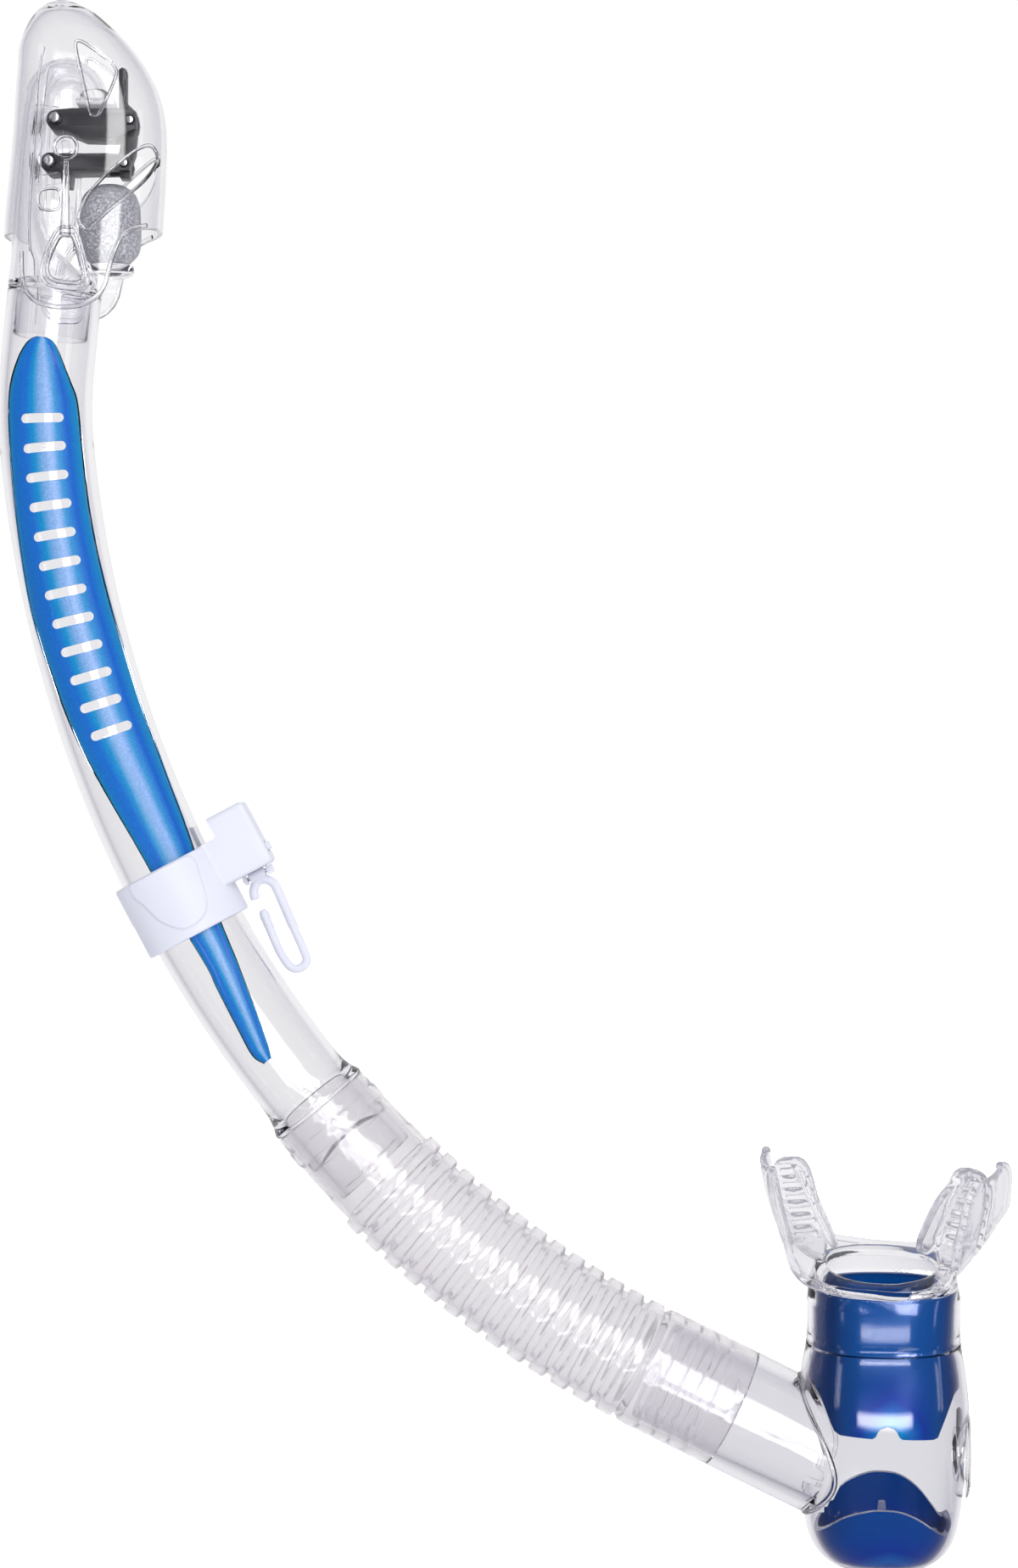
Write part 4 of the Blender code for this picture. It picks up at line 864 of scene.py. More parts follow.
# ---------------------------------------------------------------- valve head
SEAT_R, SEAT_GAP = 7.2, 0.3
DUCT_HALF, DUCT_DEPTH, DUCT_WALL = 3.6, 9.0, 1.2
SPIGOT_FIT = BORE_R - 0.35
PAD_REST = (10.5, 5.0)  # middle of the seal pad's upper face from the seal pivot, (x, z)
SEAL_TURN = radians(ARM_TRAVEL)
PAD_SHUT = (PAD_REST[0] * cos(SEAL_TURN) - PAD_REST[1] * sin(SEAL_TURN),
            PAD_REST[0] * sin(SEAL_TURN) + PAD_REST[1] * cos(SEAL_TURN))
SEAT = (SEAL_PIVOT[0] + PAD_SHUT[0] - SEAT_GAP * sin(SEAL_TURN),
        SEAL_PIVOT[1] + PAD_SHUT[1] + SEAT_GAP * cos(SEAL_TURN))
BEND = (SEAT[0] - SEAT_R * cos(SEAL_TURN), SEAT[1] - SEAT_R * sin(SEAL_TURN))
BEND_STEPS = 14
# rising duct: (z, left, right, half depth)
DUCT = (
    (144.0, -65.4, -43.5, 12.0), (147.0, -65.0, -47.5, 11.5), (150.0, -64.7, -50.5, 11.0),
    (154.0, -64.5, -53.8, 10.4), (160.0, -64.2, -56.2, 9.8), (168.0, -63.5, -56.8, 9.4),
    (176.0, -62.7, -56.8, 9.2), (187.0, -61.6, -55.4, 9.1),
    (BEND[1], BEND[0] - SEAT_R - DUCT_HALF, BEND[0] - SEAT_R + DUCT_HALF, DUCT_DEPTH))
EAR = (
    (-58.6, 171.4), (-54.5, 170.6), (-50.9, 171.8), (-50.3, 176.0), (-50.3, 184.0),
    (-50.8, 187.4), (-53.0, 188.3), (-58.6, 188.0), (-58.6, 180.0))
EAR_Y, EAR_HALF = 7.9, 0.7


def duct_ring(x, z, angle, half_width, half_depth):
    lean = radians(angle)
    return [(x + half_width * cos(t) * cos(lean), half_depth * sin(t),
             z + half_width * cos(t) * sin(lean)) for t in full_turn(64)]


def spigot_ring(distance, radius):
    return duct_ring(*tube_axis(distance), radius, radius)


def build_head():
    """Spigot in the tube's top, a rising duct, and a bend over to the valve seat."""
    outside = [spigot_ring(TUBE_TOP + rise, radius) for rise, radius in (
        (-12.0, BORE_R - 0.6), (-11.6, SPIGOT_FIT), (0.15, SPIGOT_FIT),
        (0.3, TUBE_R - 0.25), (0.5, TUBE_R), (1.2, TUBE_R))]
    inside = [spigot_ring(TUBE_TOP + rise, BORE_R - 1.6) for rise in (-12.0, 1.2)]
    stations = []  # x, z, lean, half width, half depth
    for z, left, right, depth in smooth_line(DUCT, 3):
        stations.append(((left + right) / 2, z, 0, (right - left) / 2, depth))
    for k in range(1, BEND_STEPS + 1):
        angle = 180 - (180 - ARM_TRAVEL) * k / BEND_STEPS
        stations.append((BEND[0] + SEAT_R * cos(radians(angle)),
                         BEND[1] + SEAT_R * sin(radians(angle)),
                         angle + 180, DUCT_HALF, DUCT_DEPTH))
    for x, z, angle, width, depth in stations:
        outside.append(duct_ring(x, z, angle, width, depth))
        inside.append(duct_ring(x, z, angle, width - DUCT_WALL, depth - DUCT_WALL))
    head = loft(outside + inside[::-1], closed=True)
    for side in (-1, 1):
        fuse(head, plate(round_outline(EAR, 4), side * EAR_Y - EAR_HALF, side * EAR_Y + EAR_HALF))
    for x, z in (FLOAT_PIVOT, SEAL_PIVOT):
        cut(head, rod((x, -12, z), (x, 12, z), PIN_HOLE_R))
    piece(head, "valve_head", clear_inner, "tube")
    for name, (x, z) in (("float_arm_pin", FLOAT_PIVOT), ("seal_arm_pin", SEAL_PIVOT)):
        pin(name, (x, -9.2, z), (x, 9.2, z), PIN_R, edge=0.25, body="tube")


# ---------------------------------------------------------------- guard hood
def to_face(points):
    """Outline as the camera sees it in the tube's middle plane, moved to the front face."""
    return [(VIEW_X + (x - VIEW_X) * 0.985, VIEW_Z + (z - VIEW_Z) * 0.985) for x, z in points]


HOOD_WALL = 1.1
INNER_CROWN_Z, INNER_CROWN_SCALE = 208.0, 0.86  # heights above are scaled on the inside
# (z, left, right, half depth)
HOOD = (
    (133.0, -66.1, -28.6, 14.9), (136.4, -66.2, -27.8, 15.0), (143.0, -66.3, -26.6, 15.2),
    (150.0, -66.3, -25.9, 15.4), (158.0, -66.2, -25.3, 15.4), (168.0, -65.3, -24.6, 15.3),
    (178.0, -64.3, -24.2, 15.0), (186.0, -63.7, -24.5, 14.6), (193.0, -63.3, -26.2, 14.0),
    (199.0, -62.8, -29.1, 13.2), (205.0, -62.4, -33.4, 12.0), (210.0, -60.6, -38.2, 10.0),
    (214.0, -58.2, -42.8, 7.2), (216.4, -55.3, -47.2, 3.6), (217.3, -53.4, -49.4, 1.8),
    (217.6, -52.3, -50.5, 0.8), (217.7, -51.6, -51.2, 0.2))
# what is cut away at the lower edge, as (x, z)
HOOD_CUTS = (
    ((-70, 130), (-61.2, 130), (-60.6, 144), (-60.9, 151), (-62.4, 155.0), (-70, 155.6)),
    ((-20, 130), (-37.6, 130), (-38.4, 140), (-36.8, 148), (-34.6, 153.5), (-31.6, 155.4),
     (-20, 158.2)),
    ((-61.5, 130), (-60.2, 142.5), (-59.0, 139.0), (-56.6, 136.5), (-53.0, 135.1),
     (-49.0, 134.8), (-45.0, 135.3), (-41.4, 137.0), (-39.3, 139.2), (-37.0, 144), (-37.0, 130)))
# windows, as (x, z)
TOP_WINDOW = to_face((
    (-48.1, 206.0), (-46.9, 207.2), (-42.4, 204.3), (-38.2, 200.6), (-38.0, 197.3),
    (-41.6, 188.9), (-43.4, 188.0), (-44.4, 189.4), (-46.6, 199.0)))
LEAF_VENT = to_face((
    (-46.9, 160.4), (-45.6, 158.2), (-44.0, 158.4), (-39.0, 163.0), (-31.0, 170.2),
    (-27.6, 176.0), (-28.0, 179.0), (-30.2, 179.7), (-36.2, 175.3), (-42.8, 168.7),
    (-46.0, 163.6)))
FOOT_WINDOW = to_face((
    (-52.4, 155.0), (-50.0, 155.8), (-48.3, 154.8), (-46.2, 146.6), (-46.9, 144.0),
    (-50.5, 143.8), (-54.4, 145.0), (-55.2, 148.4)))
# beads round the windows: (outline, radius, growth from the outline's middle)
WINDOW_BEADS = (
    (TOP_WINDOW, 0.45, 1.03), (LEAF_VENT, 0.48, 1.03), (FOOT_WINDOW, 0.62, 1.03),
    (FOOT_WINDOW, 0.45, 1.339))
# lines of the raised beads, as (x, z)
LOWER_BEAD = (
    (-60.4, 150), (-60.2, 143.2), (-59.0, 139.5), (-56.6, 137.0), (-53.0, 135.7),
    (-49.0, 135.4), (-45.0, 135.9), (-41.5, 137.6), (-39.0, 140.6), (-37.6, 145.4),
    (-36.0, 150.4), (-34.2, 154.0), (-31.5, 155.9), (-28.4, 157.0))
RIDGES = (
    to_face(((-60.0, 152.0), (-60.2, 160.0), (-59.6, 172.0), (-58.6, 186.0), (-58.0, 198.0),
             (-56.6, 206.0))),
    to_face(((-57.6, 170.0), (-57.2, 180.0), (-56.4, 192.0), (-55.4, 201.0))))
SQUARE = ((-57.2, 167.6), (-57.2, 163.2), (-52.4, 163.0), (-52.4, 167.8))
BOSS = (-50.5, 179.1)
STEM_STEPS = 12


def hood_ring(z, left, right, depth, inset=0.0):
    return oval((left + right) / 2, z, (right - left) / 2 - inset, depth - inset, power=2.8)


def build_hood():
    rows = smooth_line(HOOD, 5)
    inner = []
    for z, left, right, depth in rows:
        inner_z = min(z, INNER_CROWN_Z + (z - INNER_CROWN_Z) * INNER_CROWN_SCALE)
        inner.append(hood_ring(inner_z, left, right, depth, min(HOOD_WALL, depth * 0.5)))
    hood = cup([hood_ring(*row) for row in rows], inner)
    surface = surface_of(hood)
    for outline in HOOD_CUTS:
        cut(hood, plate(outline, -20, 20))
    for outline in (TOP_WINDOW, LEAF_VENT, FOOT_WINDOW):
        cut(hood, plate(round_outline(outline), -20, 20))
    piece(hood, "guard_hood", clear_hood, "tube")
    build_hood_rims(surface)


def build_hood_rims(surface):
    """Raised beads on the front (side -1) and back (side 1) of the uncut hood."""
    beads = []

    def on_hood(x, z, side, lift=0.0):
        hit = surface.ray_cast(Vector((x, side * 100, z)) * MM, Vector((0, -side, 0)))[0]
        if hit is None:
            return None
        point = hit / MM
        return (point.x, point.y + side * lift, point.z)

    def bead(points, side, radius, lift=0.0, **shape):
        line = [on_hood(x, z, side, lift) for x, z in points]
        if all(line):  # a line that leaves the hood gets no bead
            beads.append(wire(line, radius, **shape))

    for outline, radius, growth in WINDOW_BEADS:
        points = round_outline(outline, 6)
        middle_x = sum(x for x, z in points) / len(points)
        middle_z = sum(z for x, z in points) / len(points)
        points = [(middle_x + (x - middle_x) * growth, middle_z + (z - middle_z) * growth)
                  for x, z in points]
        for side in (-1, 1):
            bead(points, side, radius, closed=True, sides=10)
    for side in (-1, 1):
        bead(smooth_line(LOWER_BEAD, 5), side, 0.62)
        for ridge in RIDGES:
            bead(smooth_line(ridge, 6), side, 0.36, sides=10)
        bead(to_face(circle(*BOSS, 3.0, 40)), side, 0.5, lift=0.2, closed=True, sides=10)
        x, y, z = on_hood(*to_face([BOSS])[0], side, 0.1)
        beads.append(rod((x, y - side * 0.6, z), (x, y + side * 0.45, z), 1.7))
        fractions = [k / STEM_STEPS for k in range(STEM_STEPS + 1)]
        # a flat stem below the boss that widens downwards
        bead(to_face([(-50.4 - 0.3 * t, 176.0 - 20.0 * t) for t in fractions]), side,
             [0.55 + 0.95 * t for t in fractions], flat=0.4, flat_axis=(0, 1, 0))
        bead(to_face(round_outline(SQUARE, 6)), side, 0.36, closed=True, sides=8)
    piece(join(beads), "hood_rims", clear_hood, "tube", in_cad=False)


# ---------------------------------------------------------------- arms, link and float
# outlines as (x, z) from the arm's pivot, or from the link's lower pin
FLOAT_ARM = circle(0, 0, 2.6, 24, 100, 262) + [
    (2.5, -2.35), (2.9, -5.6), (4.8, -5.6), (5.2, -2.3), (15.5, -2.15), (20.4, -1.9),
    (20.9, 0.0), (20.4, 2.0), (15.0, 2.4), (7.0, 2.3), (2.5, 2.3)]
SEAL_ARM = circle(0, 0, 2.6, 24, 95, 265) + [
    (3.0, -3.0), (7.0, -4.6), (15.2, -4.8), (20.6, -2.2), (21.0, 0.0), (20.6, 2.2),
    (16.6, 3.0), (3.5, 3.0)]
LINK_BAR = (
    (-1.2, -3.6), (1.2, -3.6), (1.5, 0), (2.6, 3.0), (3.1, 8.4), (3.1, 13.4), (0.4, 16.0),
    (0.5, 24.6), (-0.6, 25.2), (-1.5, 24.6), (-1.5, 15.0), (-0.2, 9.6), (-1.5, 3.0), (-1.8, 0))
PIN_GAP = (SEAL_PIVOT[0] - FLOAT_PIVOT[0], SEAL_PIVOT[1] - FLOAT_PIVOT[1])
FLOAT_X, FLOAT_R, FLOAT_TOP, FLOAT_LOW = -38.9, 8.1, 169.4, 148.4
# (radius, z)
FLOAT_SIDE = (
    (0, FLOAT_TOP), (3.4, FLOAT_TOP - 0.5), (6.2, FLOAT_TOP - 2.3), (7.6, FLOAT_TOP - 4.8),
    (FLOAT_R, FLOAT_TOP - 8.0), (FLOAT_R, FLOAT_LOW + 5.5), (7.4, FLOAT_LOW + 2.6),
    (5.6, FLOAT_LOW + 0.5), (5.0, FLOAT_LOW))
FLOAT_SOCKET = ((4.2, FLOAT_LOW), (4.2, FLOAT_LOW + 6.0), (0, FLOAT_LOW + 7.0))
# (radius, height from the float's lower end)
FLOAT_CAP = (
    (0, 5.0), (3.4, 4.6), (3.8, 4.2), (3.8, -0.3), (5.4, -0.3), (6.1, -0.7), (6.3, -1.3),
    (6.2, -2.1), (5.8, -2.9), (4.8, -3.4), (0, -3.4))


def arm(outline, fork_start, matrix):
    """A pivoted arm with a fork at its far end."""
    holes = [circle(0, 0, PIN_HOLE_R, 32), circle(ARM_L, 0, 1.3, 24)]
    return cut(plate(outline, -5.6, 5.6, matrix, holes),
               box((fork_start, -3.4, -6), (24, 3.4, 6), matrix))


def build_arms():
    float_arm = arm(FLOAT_ARM, 14.6, FLOAT_M)
    for side in (-1, 1):
        # a shallow groove along each face
        cut(float_arm, box((4.4, side * 5.9 - 0.6, -1.1), (13.4, side * 5.9 + 0.6, 1.1), FLOAT_M))
    piece(bevel(float_arm, 0.3), "float_arm", black, "float_arm")
    piece(bevel(arm(SEAL_ARM, 14.7, SEAL_M), 0.3), "seal_arm", black, "seal_arm")
    pad = box((PAD_REST[0] - 5.0, -10.2, 3.3), (PAD_REST[0] + 5.0, 10.2, PAD_REST[1]), SEAL_M)
    piece(bevel(pad, 0.5, 4), "seal_pad", soft_silicone, "seal_arm")


def build_link():
    holes = [circle(0, 0, 1.05, 24), circle(*PIN_GAP, 1.05, 24)]
    bar = plate(LINK_BAR, -3.0, 3.0, LINK_M, holes)
    piece(bevel(bar, 0.3), "link_bar", black, "float_link")
    for name, (x, z) in (("link_pin_lower", (0, 0)), ("link_pin_upper", PIN_GAP)):
        pin(name, (x, -5.9, z), (x, 5.9, z), 1.0, edge=0.2, body="float_link", matrix=LINK_M)


def build_float():
    matrix = move(FLOAT_X, 0)
    profile = [(max(0.0, p.x), p.y) for p in smooth_line(FLOAT_SIDE, 5)]
    profile += FLOAT_SOCKET
    piece(turned(profile, matrix), "float_body", grey, "float_link")
    cap = turned([(radius, FLOAT_LOW + z) for radius, z in FLOAT_CAP], matrix)
    piece(cap, "float_cap", clear_inner, "float_link")


# ---------------------------------------------------------------- keeper
COLLAR_HALF, COLLAR_R, COLLAR_BORE = 19.7 / 2, 14.45, 12.7
BLOCK_OUT, BLOCK_Y, BLOCK_Z = 25.44, 8.0, (-2.2, 15.5)
# (radius, height)
COLLAR = (
    (COLLAR_BORE + 0.4, COLLAR_HALF), (COLLAR_R - 0.3, COLLAR_HALF),
    (COLLAR_R, COLLAR_HALF - 0.4), (COLLAR_R, -COLLAR_HALF + 0.4),
    (COLLAR_R - 0.3, -COLLAR_HALF), (COLLAR_BORE + 0.4, -COLLAR_HALF),
    (COLLAR_BORE, -COLLAR_HALF + 0.4), (COLLAR_BORE, COLLAR_HALF - 0.4))
SLEEVE = (
    (COLLAR_R + 0.65, COLLAR_HALF - 0.3), (COLLAR_R + 0.65, -COLLAR_HALF),
    (COLLAR_R - 0.8, -COLLAR_HALF), (COLLAR_R - 0.8, COLLAR_HALF - 0.3))
# (x, z)
TONGUE = (
    (-9.2, 9.4), (7.4, 9.4), (7.9, 2.0), (6.2, -4.5), (2.6, -7.0), (-2.0, -6.8), (-6.0, -2.8),
    (-8.2, 3.0))
CARRIER_FORK = (
    (15.9, 2.0), (15.9, -4.65), (16.75, -4.65), (16.75, -1.9), (22.5, -1.9), (22.5, -4.65),
    (24.2, -4.65), (24.2, -2.45), (22.9, -2.45), (22.9, 2.0))
# cuts in the block, as low and high corners
BLOCK_CUTS = (
    ((4, -12, 10.05), (15.1, 12, 20)),  # gap between the block's top and the tube
    ((15.6, -5.3, -6), (23.2, 5.3, 11.0)),  # socket for the hook carrier
    ((22.0, -2.9, 0.7), (30, 2.9, 3.5)))  # window for the release button
HOOK_R, HOOK_BORE = 1.15, 0.75
HOOK_ENDS = (0.6, 0.92, 1.08)  # radius factors inwards from each end
# centre line of the hook: (out from the tube, down the tube)
HOOK = (
    (16.3, 8.9), (16.5, 7.6), (17.3, 6.2), (18.8, 5.0), (20.2, 5.0), (21.5, 5.9), (22.3, 7.2),
    (22.5, 9.2), (21.75, 18.6), (21.0, 28.0), (20.2, 29.6), (18.6, 30.3), (17.0, 29.9),
    (15.9, 28.3), (15.45, 24.4), (15.9, 18.3), (16.55, 12.2))


def build_keeper():
    """Collar, outward block, and a thin raised tongue on the front of the collar."""
    collar = turned(COLLAR, KEEPER_M, 128)
    block = box((9.0, -BLOCK_Y, BLOCK_Z[0]), (BLOCK_OUT, BLOCK_Y, BLOCK_Z[1]), BLOCK_M)
    bevel(block, 1.0)
    tongue = plate(round_outline(TONGUE, 6), -19.5, -11.5, KEEPER_M)
    boolean(tongue, "INTERSECT", [turned(SLEEVE, KEEPER_M, 128)])
    keeper = meld([collar, block, tongue], voxel=0.25, smooth=5)
    cut(keeper, rod((0, 0, -30), (0, 0, 30), COLLAR_BORE + 0.05, KEEPER_M, 128))
    for low, high in BLOCK_CUTS:
        cut(keeper, box(low, high, BLOCK_M))
    piece(keeper, "keeper_collar", white, "keeper", sharp=50)


def build_button_and_carrier():
    button = box((0, -2.6, -1.1), (2.4, 2.6, 1.1), BLOCK_M @ move(23.9, 2.1))
    piece(bevel(button, 0.4, 4), "release_button", white, "release_button")
    carrier = bevel(box((16.1, -5.0, -1.7), (22.7, 5.0, 10.5), BLOCK_M), 0.4)
    fuse(carrier, plate(CARRIER_FORK, -1.1, 1.1, BLOCK_M))
    cut(carrier, rod((14, 0, -HOOK_DROP), (26, 0, -HOOK_DROP), 0.8, BLOCK_M))
    piece(carrier, "hook_carrier", white, "hook_carrier")
    pin("hook_pin", (15.7, 0, -HOOK_DROP), (24.1, 0, -HOOK_DROP), 0.55, edge=0.12,
        body="hook_carrier", matrix=BLOCK_M)


def build_hook():
    line = smooth_line([(out - HOOK_OUT, 0, HOOK_DROP - down) for out, down in HOOK], 6)
    radii = [HOOK_R] * len(line)
    for k, factor in enumerate(HOOK_ENDS):
        radii[k] = radii[-1 - k] = HOOK_R * factor
    hook = meld([wire(line, radii, HOOK_M, sides=20, flat=0.92, flat_axis=(0, 1, 0)),
                 rod((-2.25, 0, 0), (2.25, 0, 0), 1.3, HOOK_M)], voxel=0.16, smooth=3)
    cut(hook, rod((-4, 0, 0), (4, 0, 0), HOOK_BORE, HOOK_M))
    piece(hook, "strap_hook", white, "strap_hook", sharp=50)


# ---------------------------------------------------------------- corrugated hose
RIB_N, RIB_PITCH, RIB_START, RIB_R, VALLEY_R, HOSE_BORE = 13, 6.4, 27.3, 16.0, 14.5, 13.05
CUFF_R, GROOVE_R, GROOVE_N, GROOVE_PITCH, GROOVE_START = 16.1, 15.85, 4, 4.6, 114.0
# (distance down the hose, radius)
UPPER_CUFF = (
    (0.3, 13.7), (0.6, 14.05), (2.4, 14.15), (4.4, 14.15), (4.7, 14.3), (5.1, 14.5),
    (7.0, 14.52), (8.9, 14.5), (9.2, 14.25), (9.5, 14.2), (14.0, 14.3), (19.4, 14.3),
    (19.8, 14.45), (20.2, 14.6), (22.0, 14.62), (24.5, 14.6))
# one rib and one groove: (distance from its start, radius)
RIB = (
    (-1.3, VALLEY_R), (-1.0, VALLEY_R + 0.05), (-0.8, VALLEY_R + 0.3), (-0.65, RIB_R - 0.35),
    (-0.4, RIB_R - 0.08), (-0.05, RIB_R), (1.5, RIB_R + 0.02), (3.05, RIB_R),
    (3.4, RIB_R - 0.1), (3.6, RIB_R - 0.4), (3.75, VALLEY_R + 0.3), (4.0, VALLEY_R))
GROOVE = ((0, CUFF_R), (0.25, GROOVE_R), (0.5, GROOVE_R), (0.75, CUFF_R))
BORE_R_RIBBED, BORE_RIPPLE = 13.4, 0.22


def build_hose():
    steps = list(UPPER_CUFF)
    for k in range(RIB_N):
        start = RIB_START + RIB_PITCH * k
        steps += [(start + offset, radius) for offset, radius in RIB]
    steps += [(109.4, 15.6), (109.7, 15.95), (111.8, 16.05), (112.0, CUFF_R)]
    for k in range(GROOVE_N):
        start = GROOVE_START + GROOVE_PITCH * k
        steps += [(start + offset, radius) for offset, radius in GROOVE]
    steps += [(132.0, CUFF_R), (HOSE_L - 0.4, CUFF_R), (HOSE_L, CUFF_R - 0.3)]
    # back up the bore
    steps += [(HOSE_L, 14.05), (110.4, 14.05), (109.6, 13.95), (107.4, 13.45)]
    distance = 106.0
    while distance > 26.0:
        phase = 2 * pi * (distance - RIB_START - 1.5) / RIB_PITCH
        steps.append((distance, BORE_R_RIBBED + BORE_RIPPLE * cos(phase)))
        distance -= RIB_PITCH / 8
    steps += [(25.0, BORE_R_RIBBED), (23.0, HOSE_BORE), (12.0, HOSE_BORE + 0.1), (0.3, HOSE_BORE)]
    hose = loft([hose_ring(*step) for step in steps], closed=True)
    ends = []
    for distance in (24.0, 108.0):
        x, z = hose_axis(distance)[:2]
        ends.append((x * MM, 0, z * MM))
    piece(hose, "corrugated_hose", hose_silicone, ("tube", "hose"), sharp=40, blend=ends)


# ---------------------------------------------------------------- chamber
def chamber_point(x, y, z):
    """A point in the chamber's frame from x off its axis and a height z before the tilt."""
    return (AXIS_X + x, y, z - INLET_Z)


def chamber_oval(z, half_x, half_y, count=96, power=2.4):
    return oval(AXIS_X, z - INLET_Z, half_x, half_y, count, power)


def chamber_rings(rows, inset=0.0, count=120):
    return [chamber_oval(z, half_x - inset, half_y - inset, count) for z, half_x, half_y in rows]


def chamber_plate(outline):
    """A cutter through the whole depth of the chamber."""
    return plate([(AXIS_X + x, z - INLET_Z) for x, z in outline], -30, 30, CHAMBER_M)


def inlet_rod(start, end, radius, segments=96):
    """A rod along the inlet pipe, from where the hose ends."""
    return rod(tuple(INLET_AXIS * start), tuple(INLET_AXIS * end), radius, CHAMBER_M, segments)


# (z, half width, half depth)
CHAMBER = (
    (-132.6, 20.1, 15.0), (-142.0, 21.6, 16.6), (-150.0, 22.4, 17.6), (-160.0, 22.1, 18.0),
    (-171.0, 21.3, 17.8), (-180.0, 20.2, 17.0), (-185.0, 18.9, 15.8), (-189.0, 16.4, 13.6),
    (-191.7, 12.8, 10.6), (BASE, 9.5, 7.8))
CHAMBER_ROWS = smooth_line(CHAMBER, 5)
PORT_X, PORT_Z = 21.35, -162.5
# side cap: (radius, height off the port's face)
SIDE_CAP = (
    (0, 1.5), (5.0, 1.5), (9.6, 1.4), (10.6, 1.15), (11.2, 0.9), (11.5, 0.6), (11.6, 0.3),
    (6.9, 0.3), (6.9, -2.2), (5.6, -2.2), (5.6, -0.4), (0, -0.4))


def build_chamber():
    body = loft(chamber_rings(CHAMBER_ROWS), CHAMBER_M)
    surface = surface_of(body)
    fuse(body, inlet_rod(0.3, 34.0, INLET_R), inlet_rod(-22.0, 8.0, 13.4))
    hollow = [tuple(row) for row in CHAMBER_ROWS if row[0] > -190.5]
    hollow[0] = (-128.0, *hollow[0][1:])
    hollow.append((-191.0, 13.0, 10.8))
    cut(body, loft(chamber_rings(hollow, WALL), CHAMBER_M), inlet_rod(-30.0, 30.0, INLET_BORE))
    cut(body, loft([chamber_oval(z, 8.4, 6.8, 64, 2.2) for z in (BASE - 2, -188.0)], CHAMBER_M))
    # round port, then a flat face round it
    for start, radius, segments in ((14, 7.3, 64), (PORT_X, 12.0, 64)):
        cut(body, rod(chamber_point(start, 0, PORT_Z), chamber_point(30, 0, PORT_Z), radius,
                      CHAMBER_M, segments))
    piece(body, "chamber_body", clear_chamber, "chamber")
    build_inlet_collar(surface)
    cap_matrix = (CHAMBER_M @ Matrix.Translation(chamber_point(PORT_X, 0, PORT_Z))
                  @ Matrix.Rotation(pi / 2, 4, "Y"))
    piece(turned(SIDE_CAP, cap_matrix, 96), "side_cap", clear, "chamber")


def build_inlet_collar(surface):
    """A bead where the inlet pipe runs into the body."""
    rotation = CHAMBER_M.to_3x3()
    along = rotation @ INLET_AXIS
    origin = Vector((inlet_x, 0, INLET_Z))
    side = (rotation @ Vector((0, 1, 0))).normalized()
    side = (side - along * side.dot(along)).normalized()
    up = along.cross(side)
    ring = []
    for t in full_turn(96):
        start = origin + (side * cos(t) + up * sin(t)) * (INLET_R - 0.25)
        hit = surface.ray_cast((start - along * 20) * MM, along)[0]
        if hit is not None and (hit / MM - start).length < 60:
            ring.append(tuple(hit / MM))
    if len(ring) > 80:  # only where the pipe meets the body nearly all round
        collar = wire(ring, 0.75, closed=True)
        piece(collar, "inlet_collar", clear, "chamber", in_cad=False)


# shroud neck: (z, half width, half depth)
NECK = (
    (NECK_TOP, 17.7, 12.6), (NECK_TOP - 0.4, 18.1, 13.0), (NECK_TOP - 1.0, 18.3, 13.2),
    (-131.8, 18.3, 13.2), (-133.4, 18.4, 13.3))
# lower edge of the shroud, and what is cut away below it, as (x from the axis, z)
SHROUD_EDGE = (
    (-30, -140.4), (-19.9, -140.4), (-17.5, -141.2), (-15.7, -144.6), (-13.3, -150.6),
    (-12.5, -152.3), (-11.1, -153.2), (-2.8, -153.6), (-2.0, -153.0), (-1.4, -151.6),
    (-0.6, -150.9), (1.0, -150.4), (2.5, -150.9), (3.3, -151.6), (4.0, -153.1), (4.8, -153.7),
    (12.6, -154.2), (13.7, -153.8), (15.6, -149.0), (17.7, -143.6), (20.0, -142.0),
    (30, -142.0), (30, -170), (-30, -170))
# purge cover: (z, half width, half depth)
COVER = (
    (-172.0, 21.2, 17.75), (-180.0, 20.2, 17.0), (-185.0, 18.9, 15.8), (-189.0, 16.4, 13.6),
    (-190.5, 13.6, 11.3))
# wavy upper edge of the cover: (x from the axis, z)
COVER_WAVE = (
    (-20.7, -183.0), (-17.4, -182.0), (-14.6, -179.7), (-9.6, -175.5), (-3.5, -173.3),
    (0.5, -173.0), (5.0, -173.6), (9.8, -176.3), (14.4, -180.7), (16.0, -181.6), (17.8, -179.8))
OUTLET_X, OUTLET_HALF, OUTLET_Y = 5.2, 1.1, 4.0
SEAT_Z = -184.6
# purge membrane: (radius, height from the seat)
MEMBRANE = (
    (0, 9.0), (0.6, 8.95), (0.9, 8.8), (1.2, 6.0), (1.2, 3.4), (1.25, -0.3), (9.4, -0.3),
    (9.6, -0.5), (9.6, -0.7), (9.2, -1.1), (0, -1.2))


def blue_fields(top, low, half_width):
    """Fractions down the piece and out from its middle, for the deep blue's painted highlight and
    painted shade.
    """
    def down(point):
        z = (CHAMBER_INVERSE @ point).z + INLET_Z
        return unit((top - z) / (top - low))

    def side(point):
        return unit(abs((CHAMBER_INVERSE @ point).x - AXIS_X - 2.0) / half_width)

    return {"down": down, "side": side}


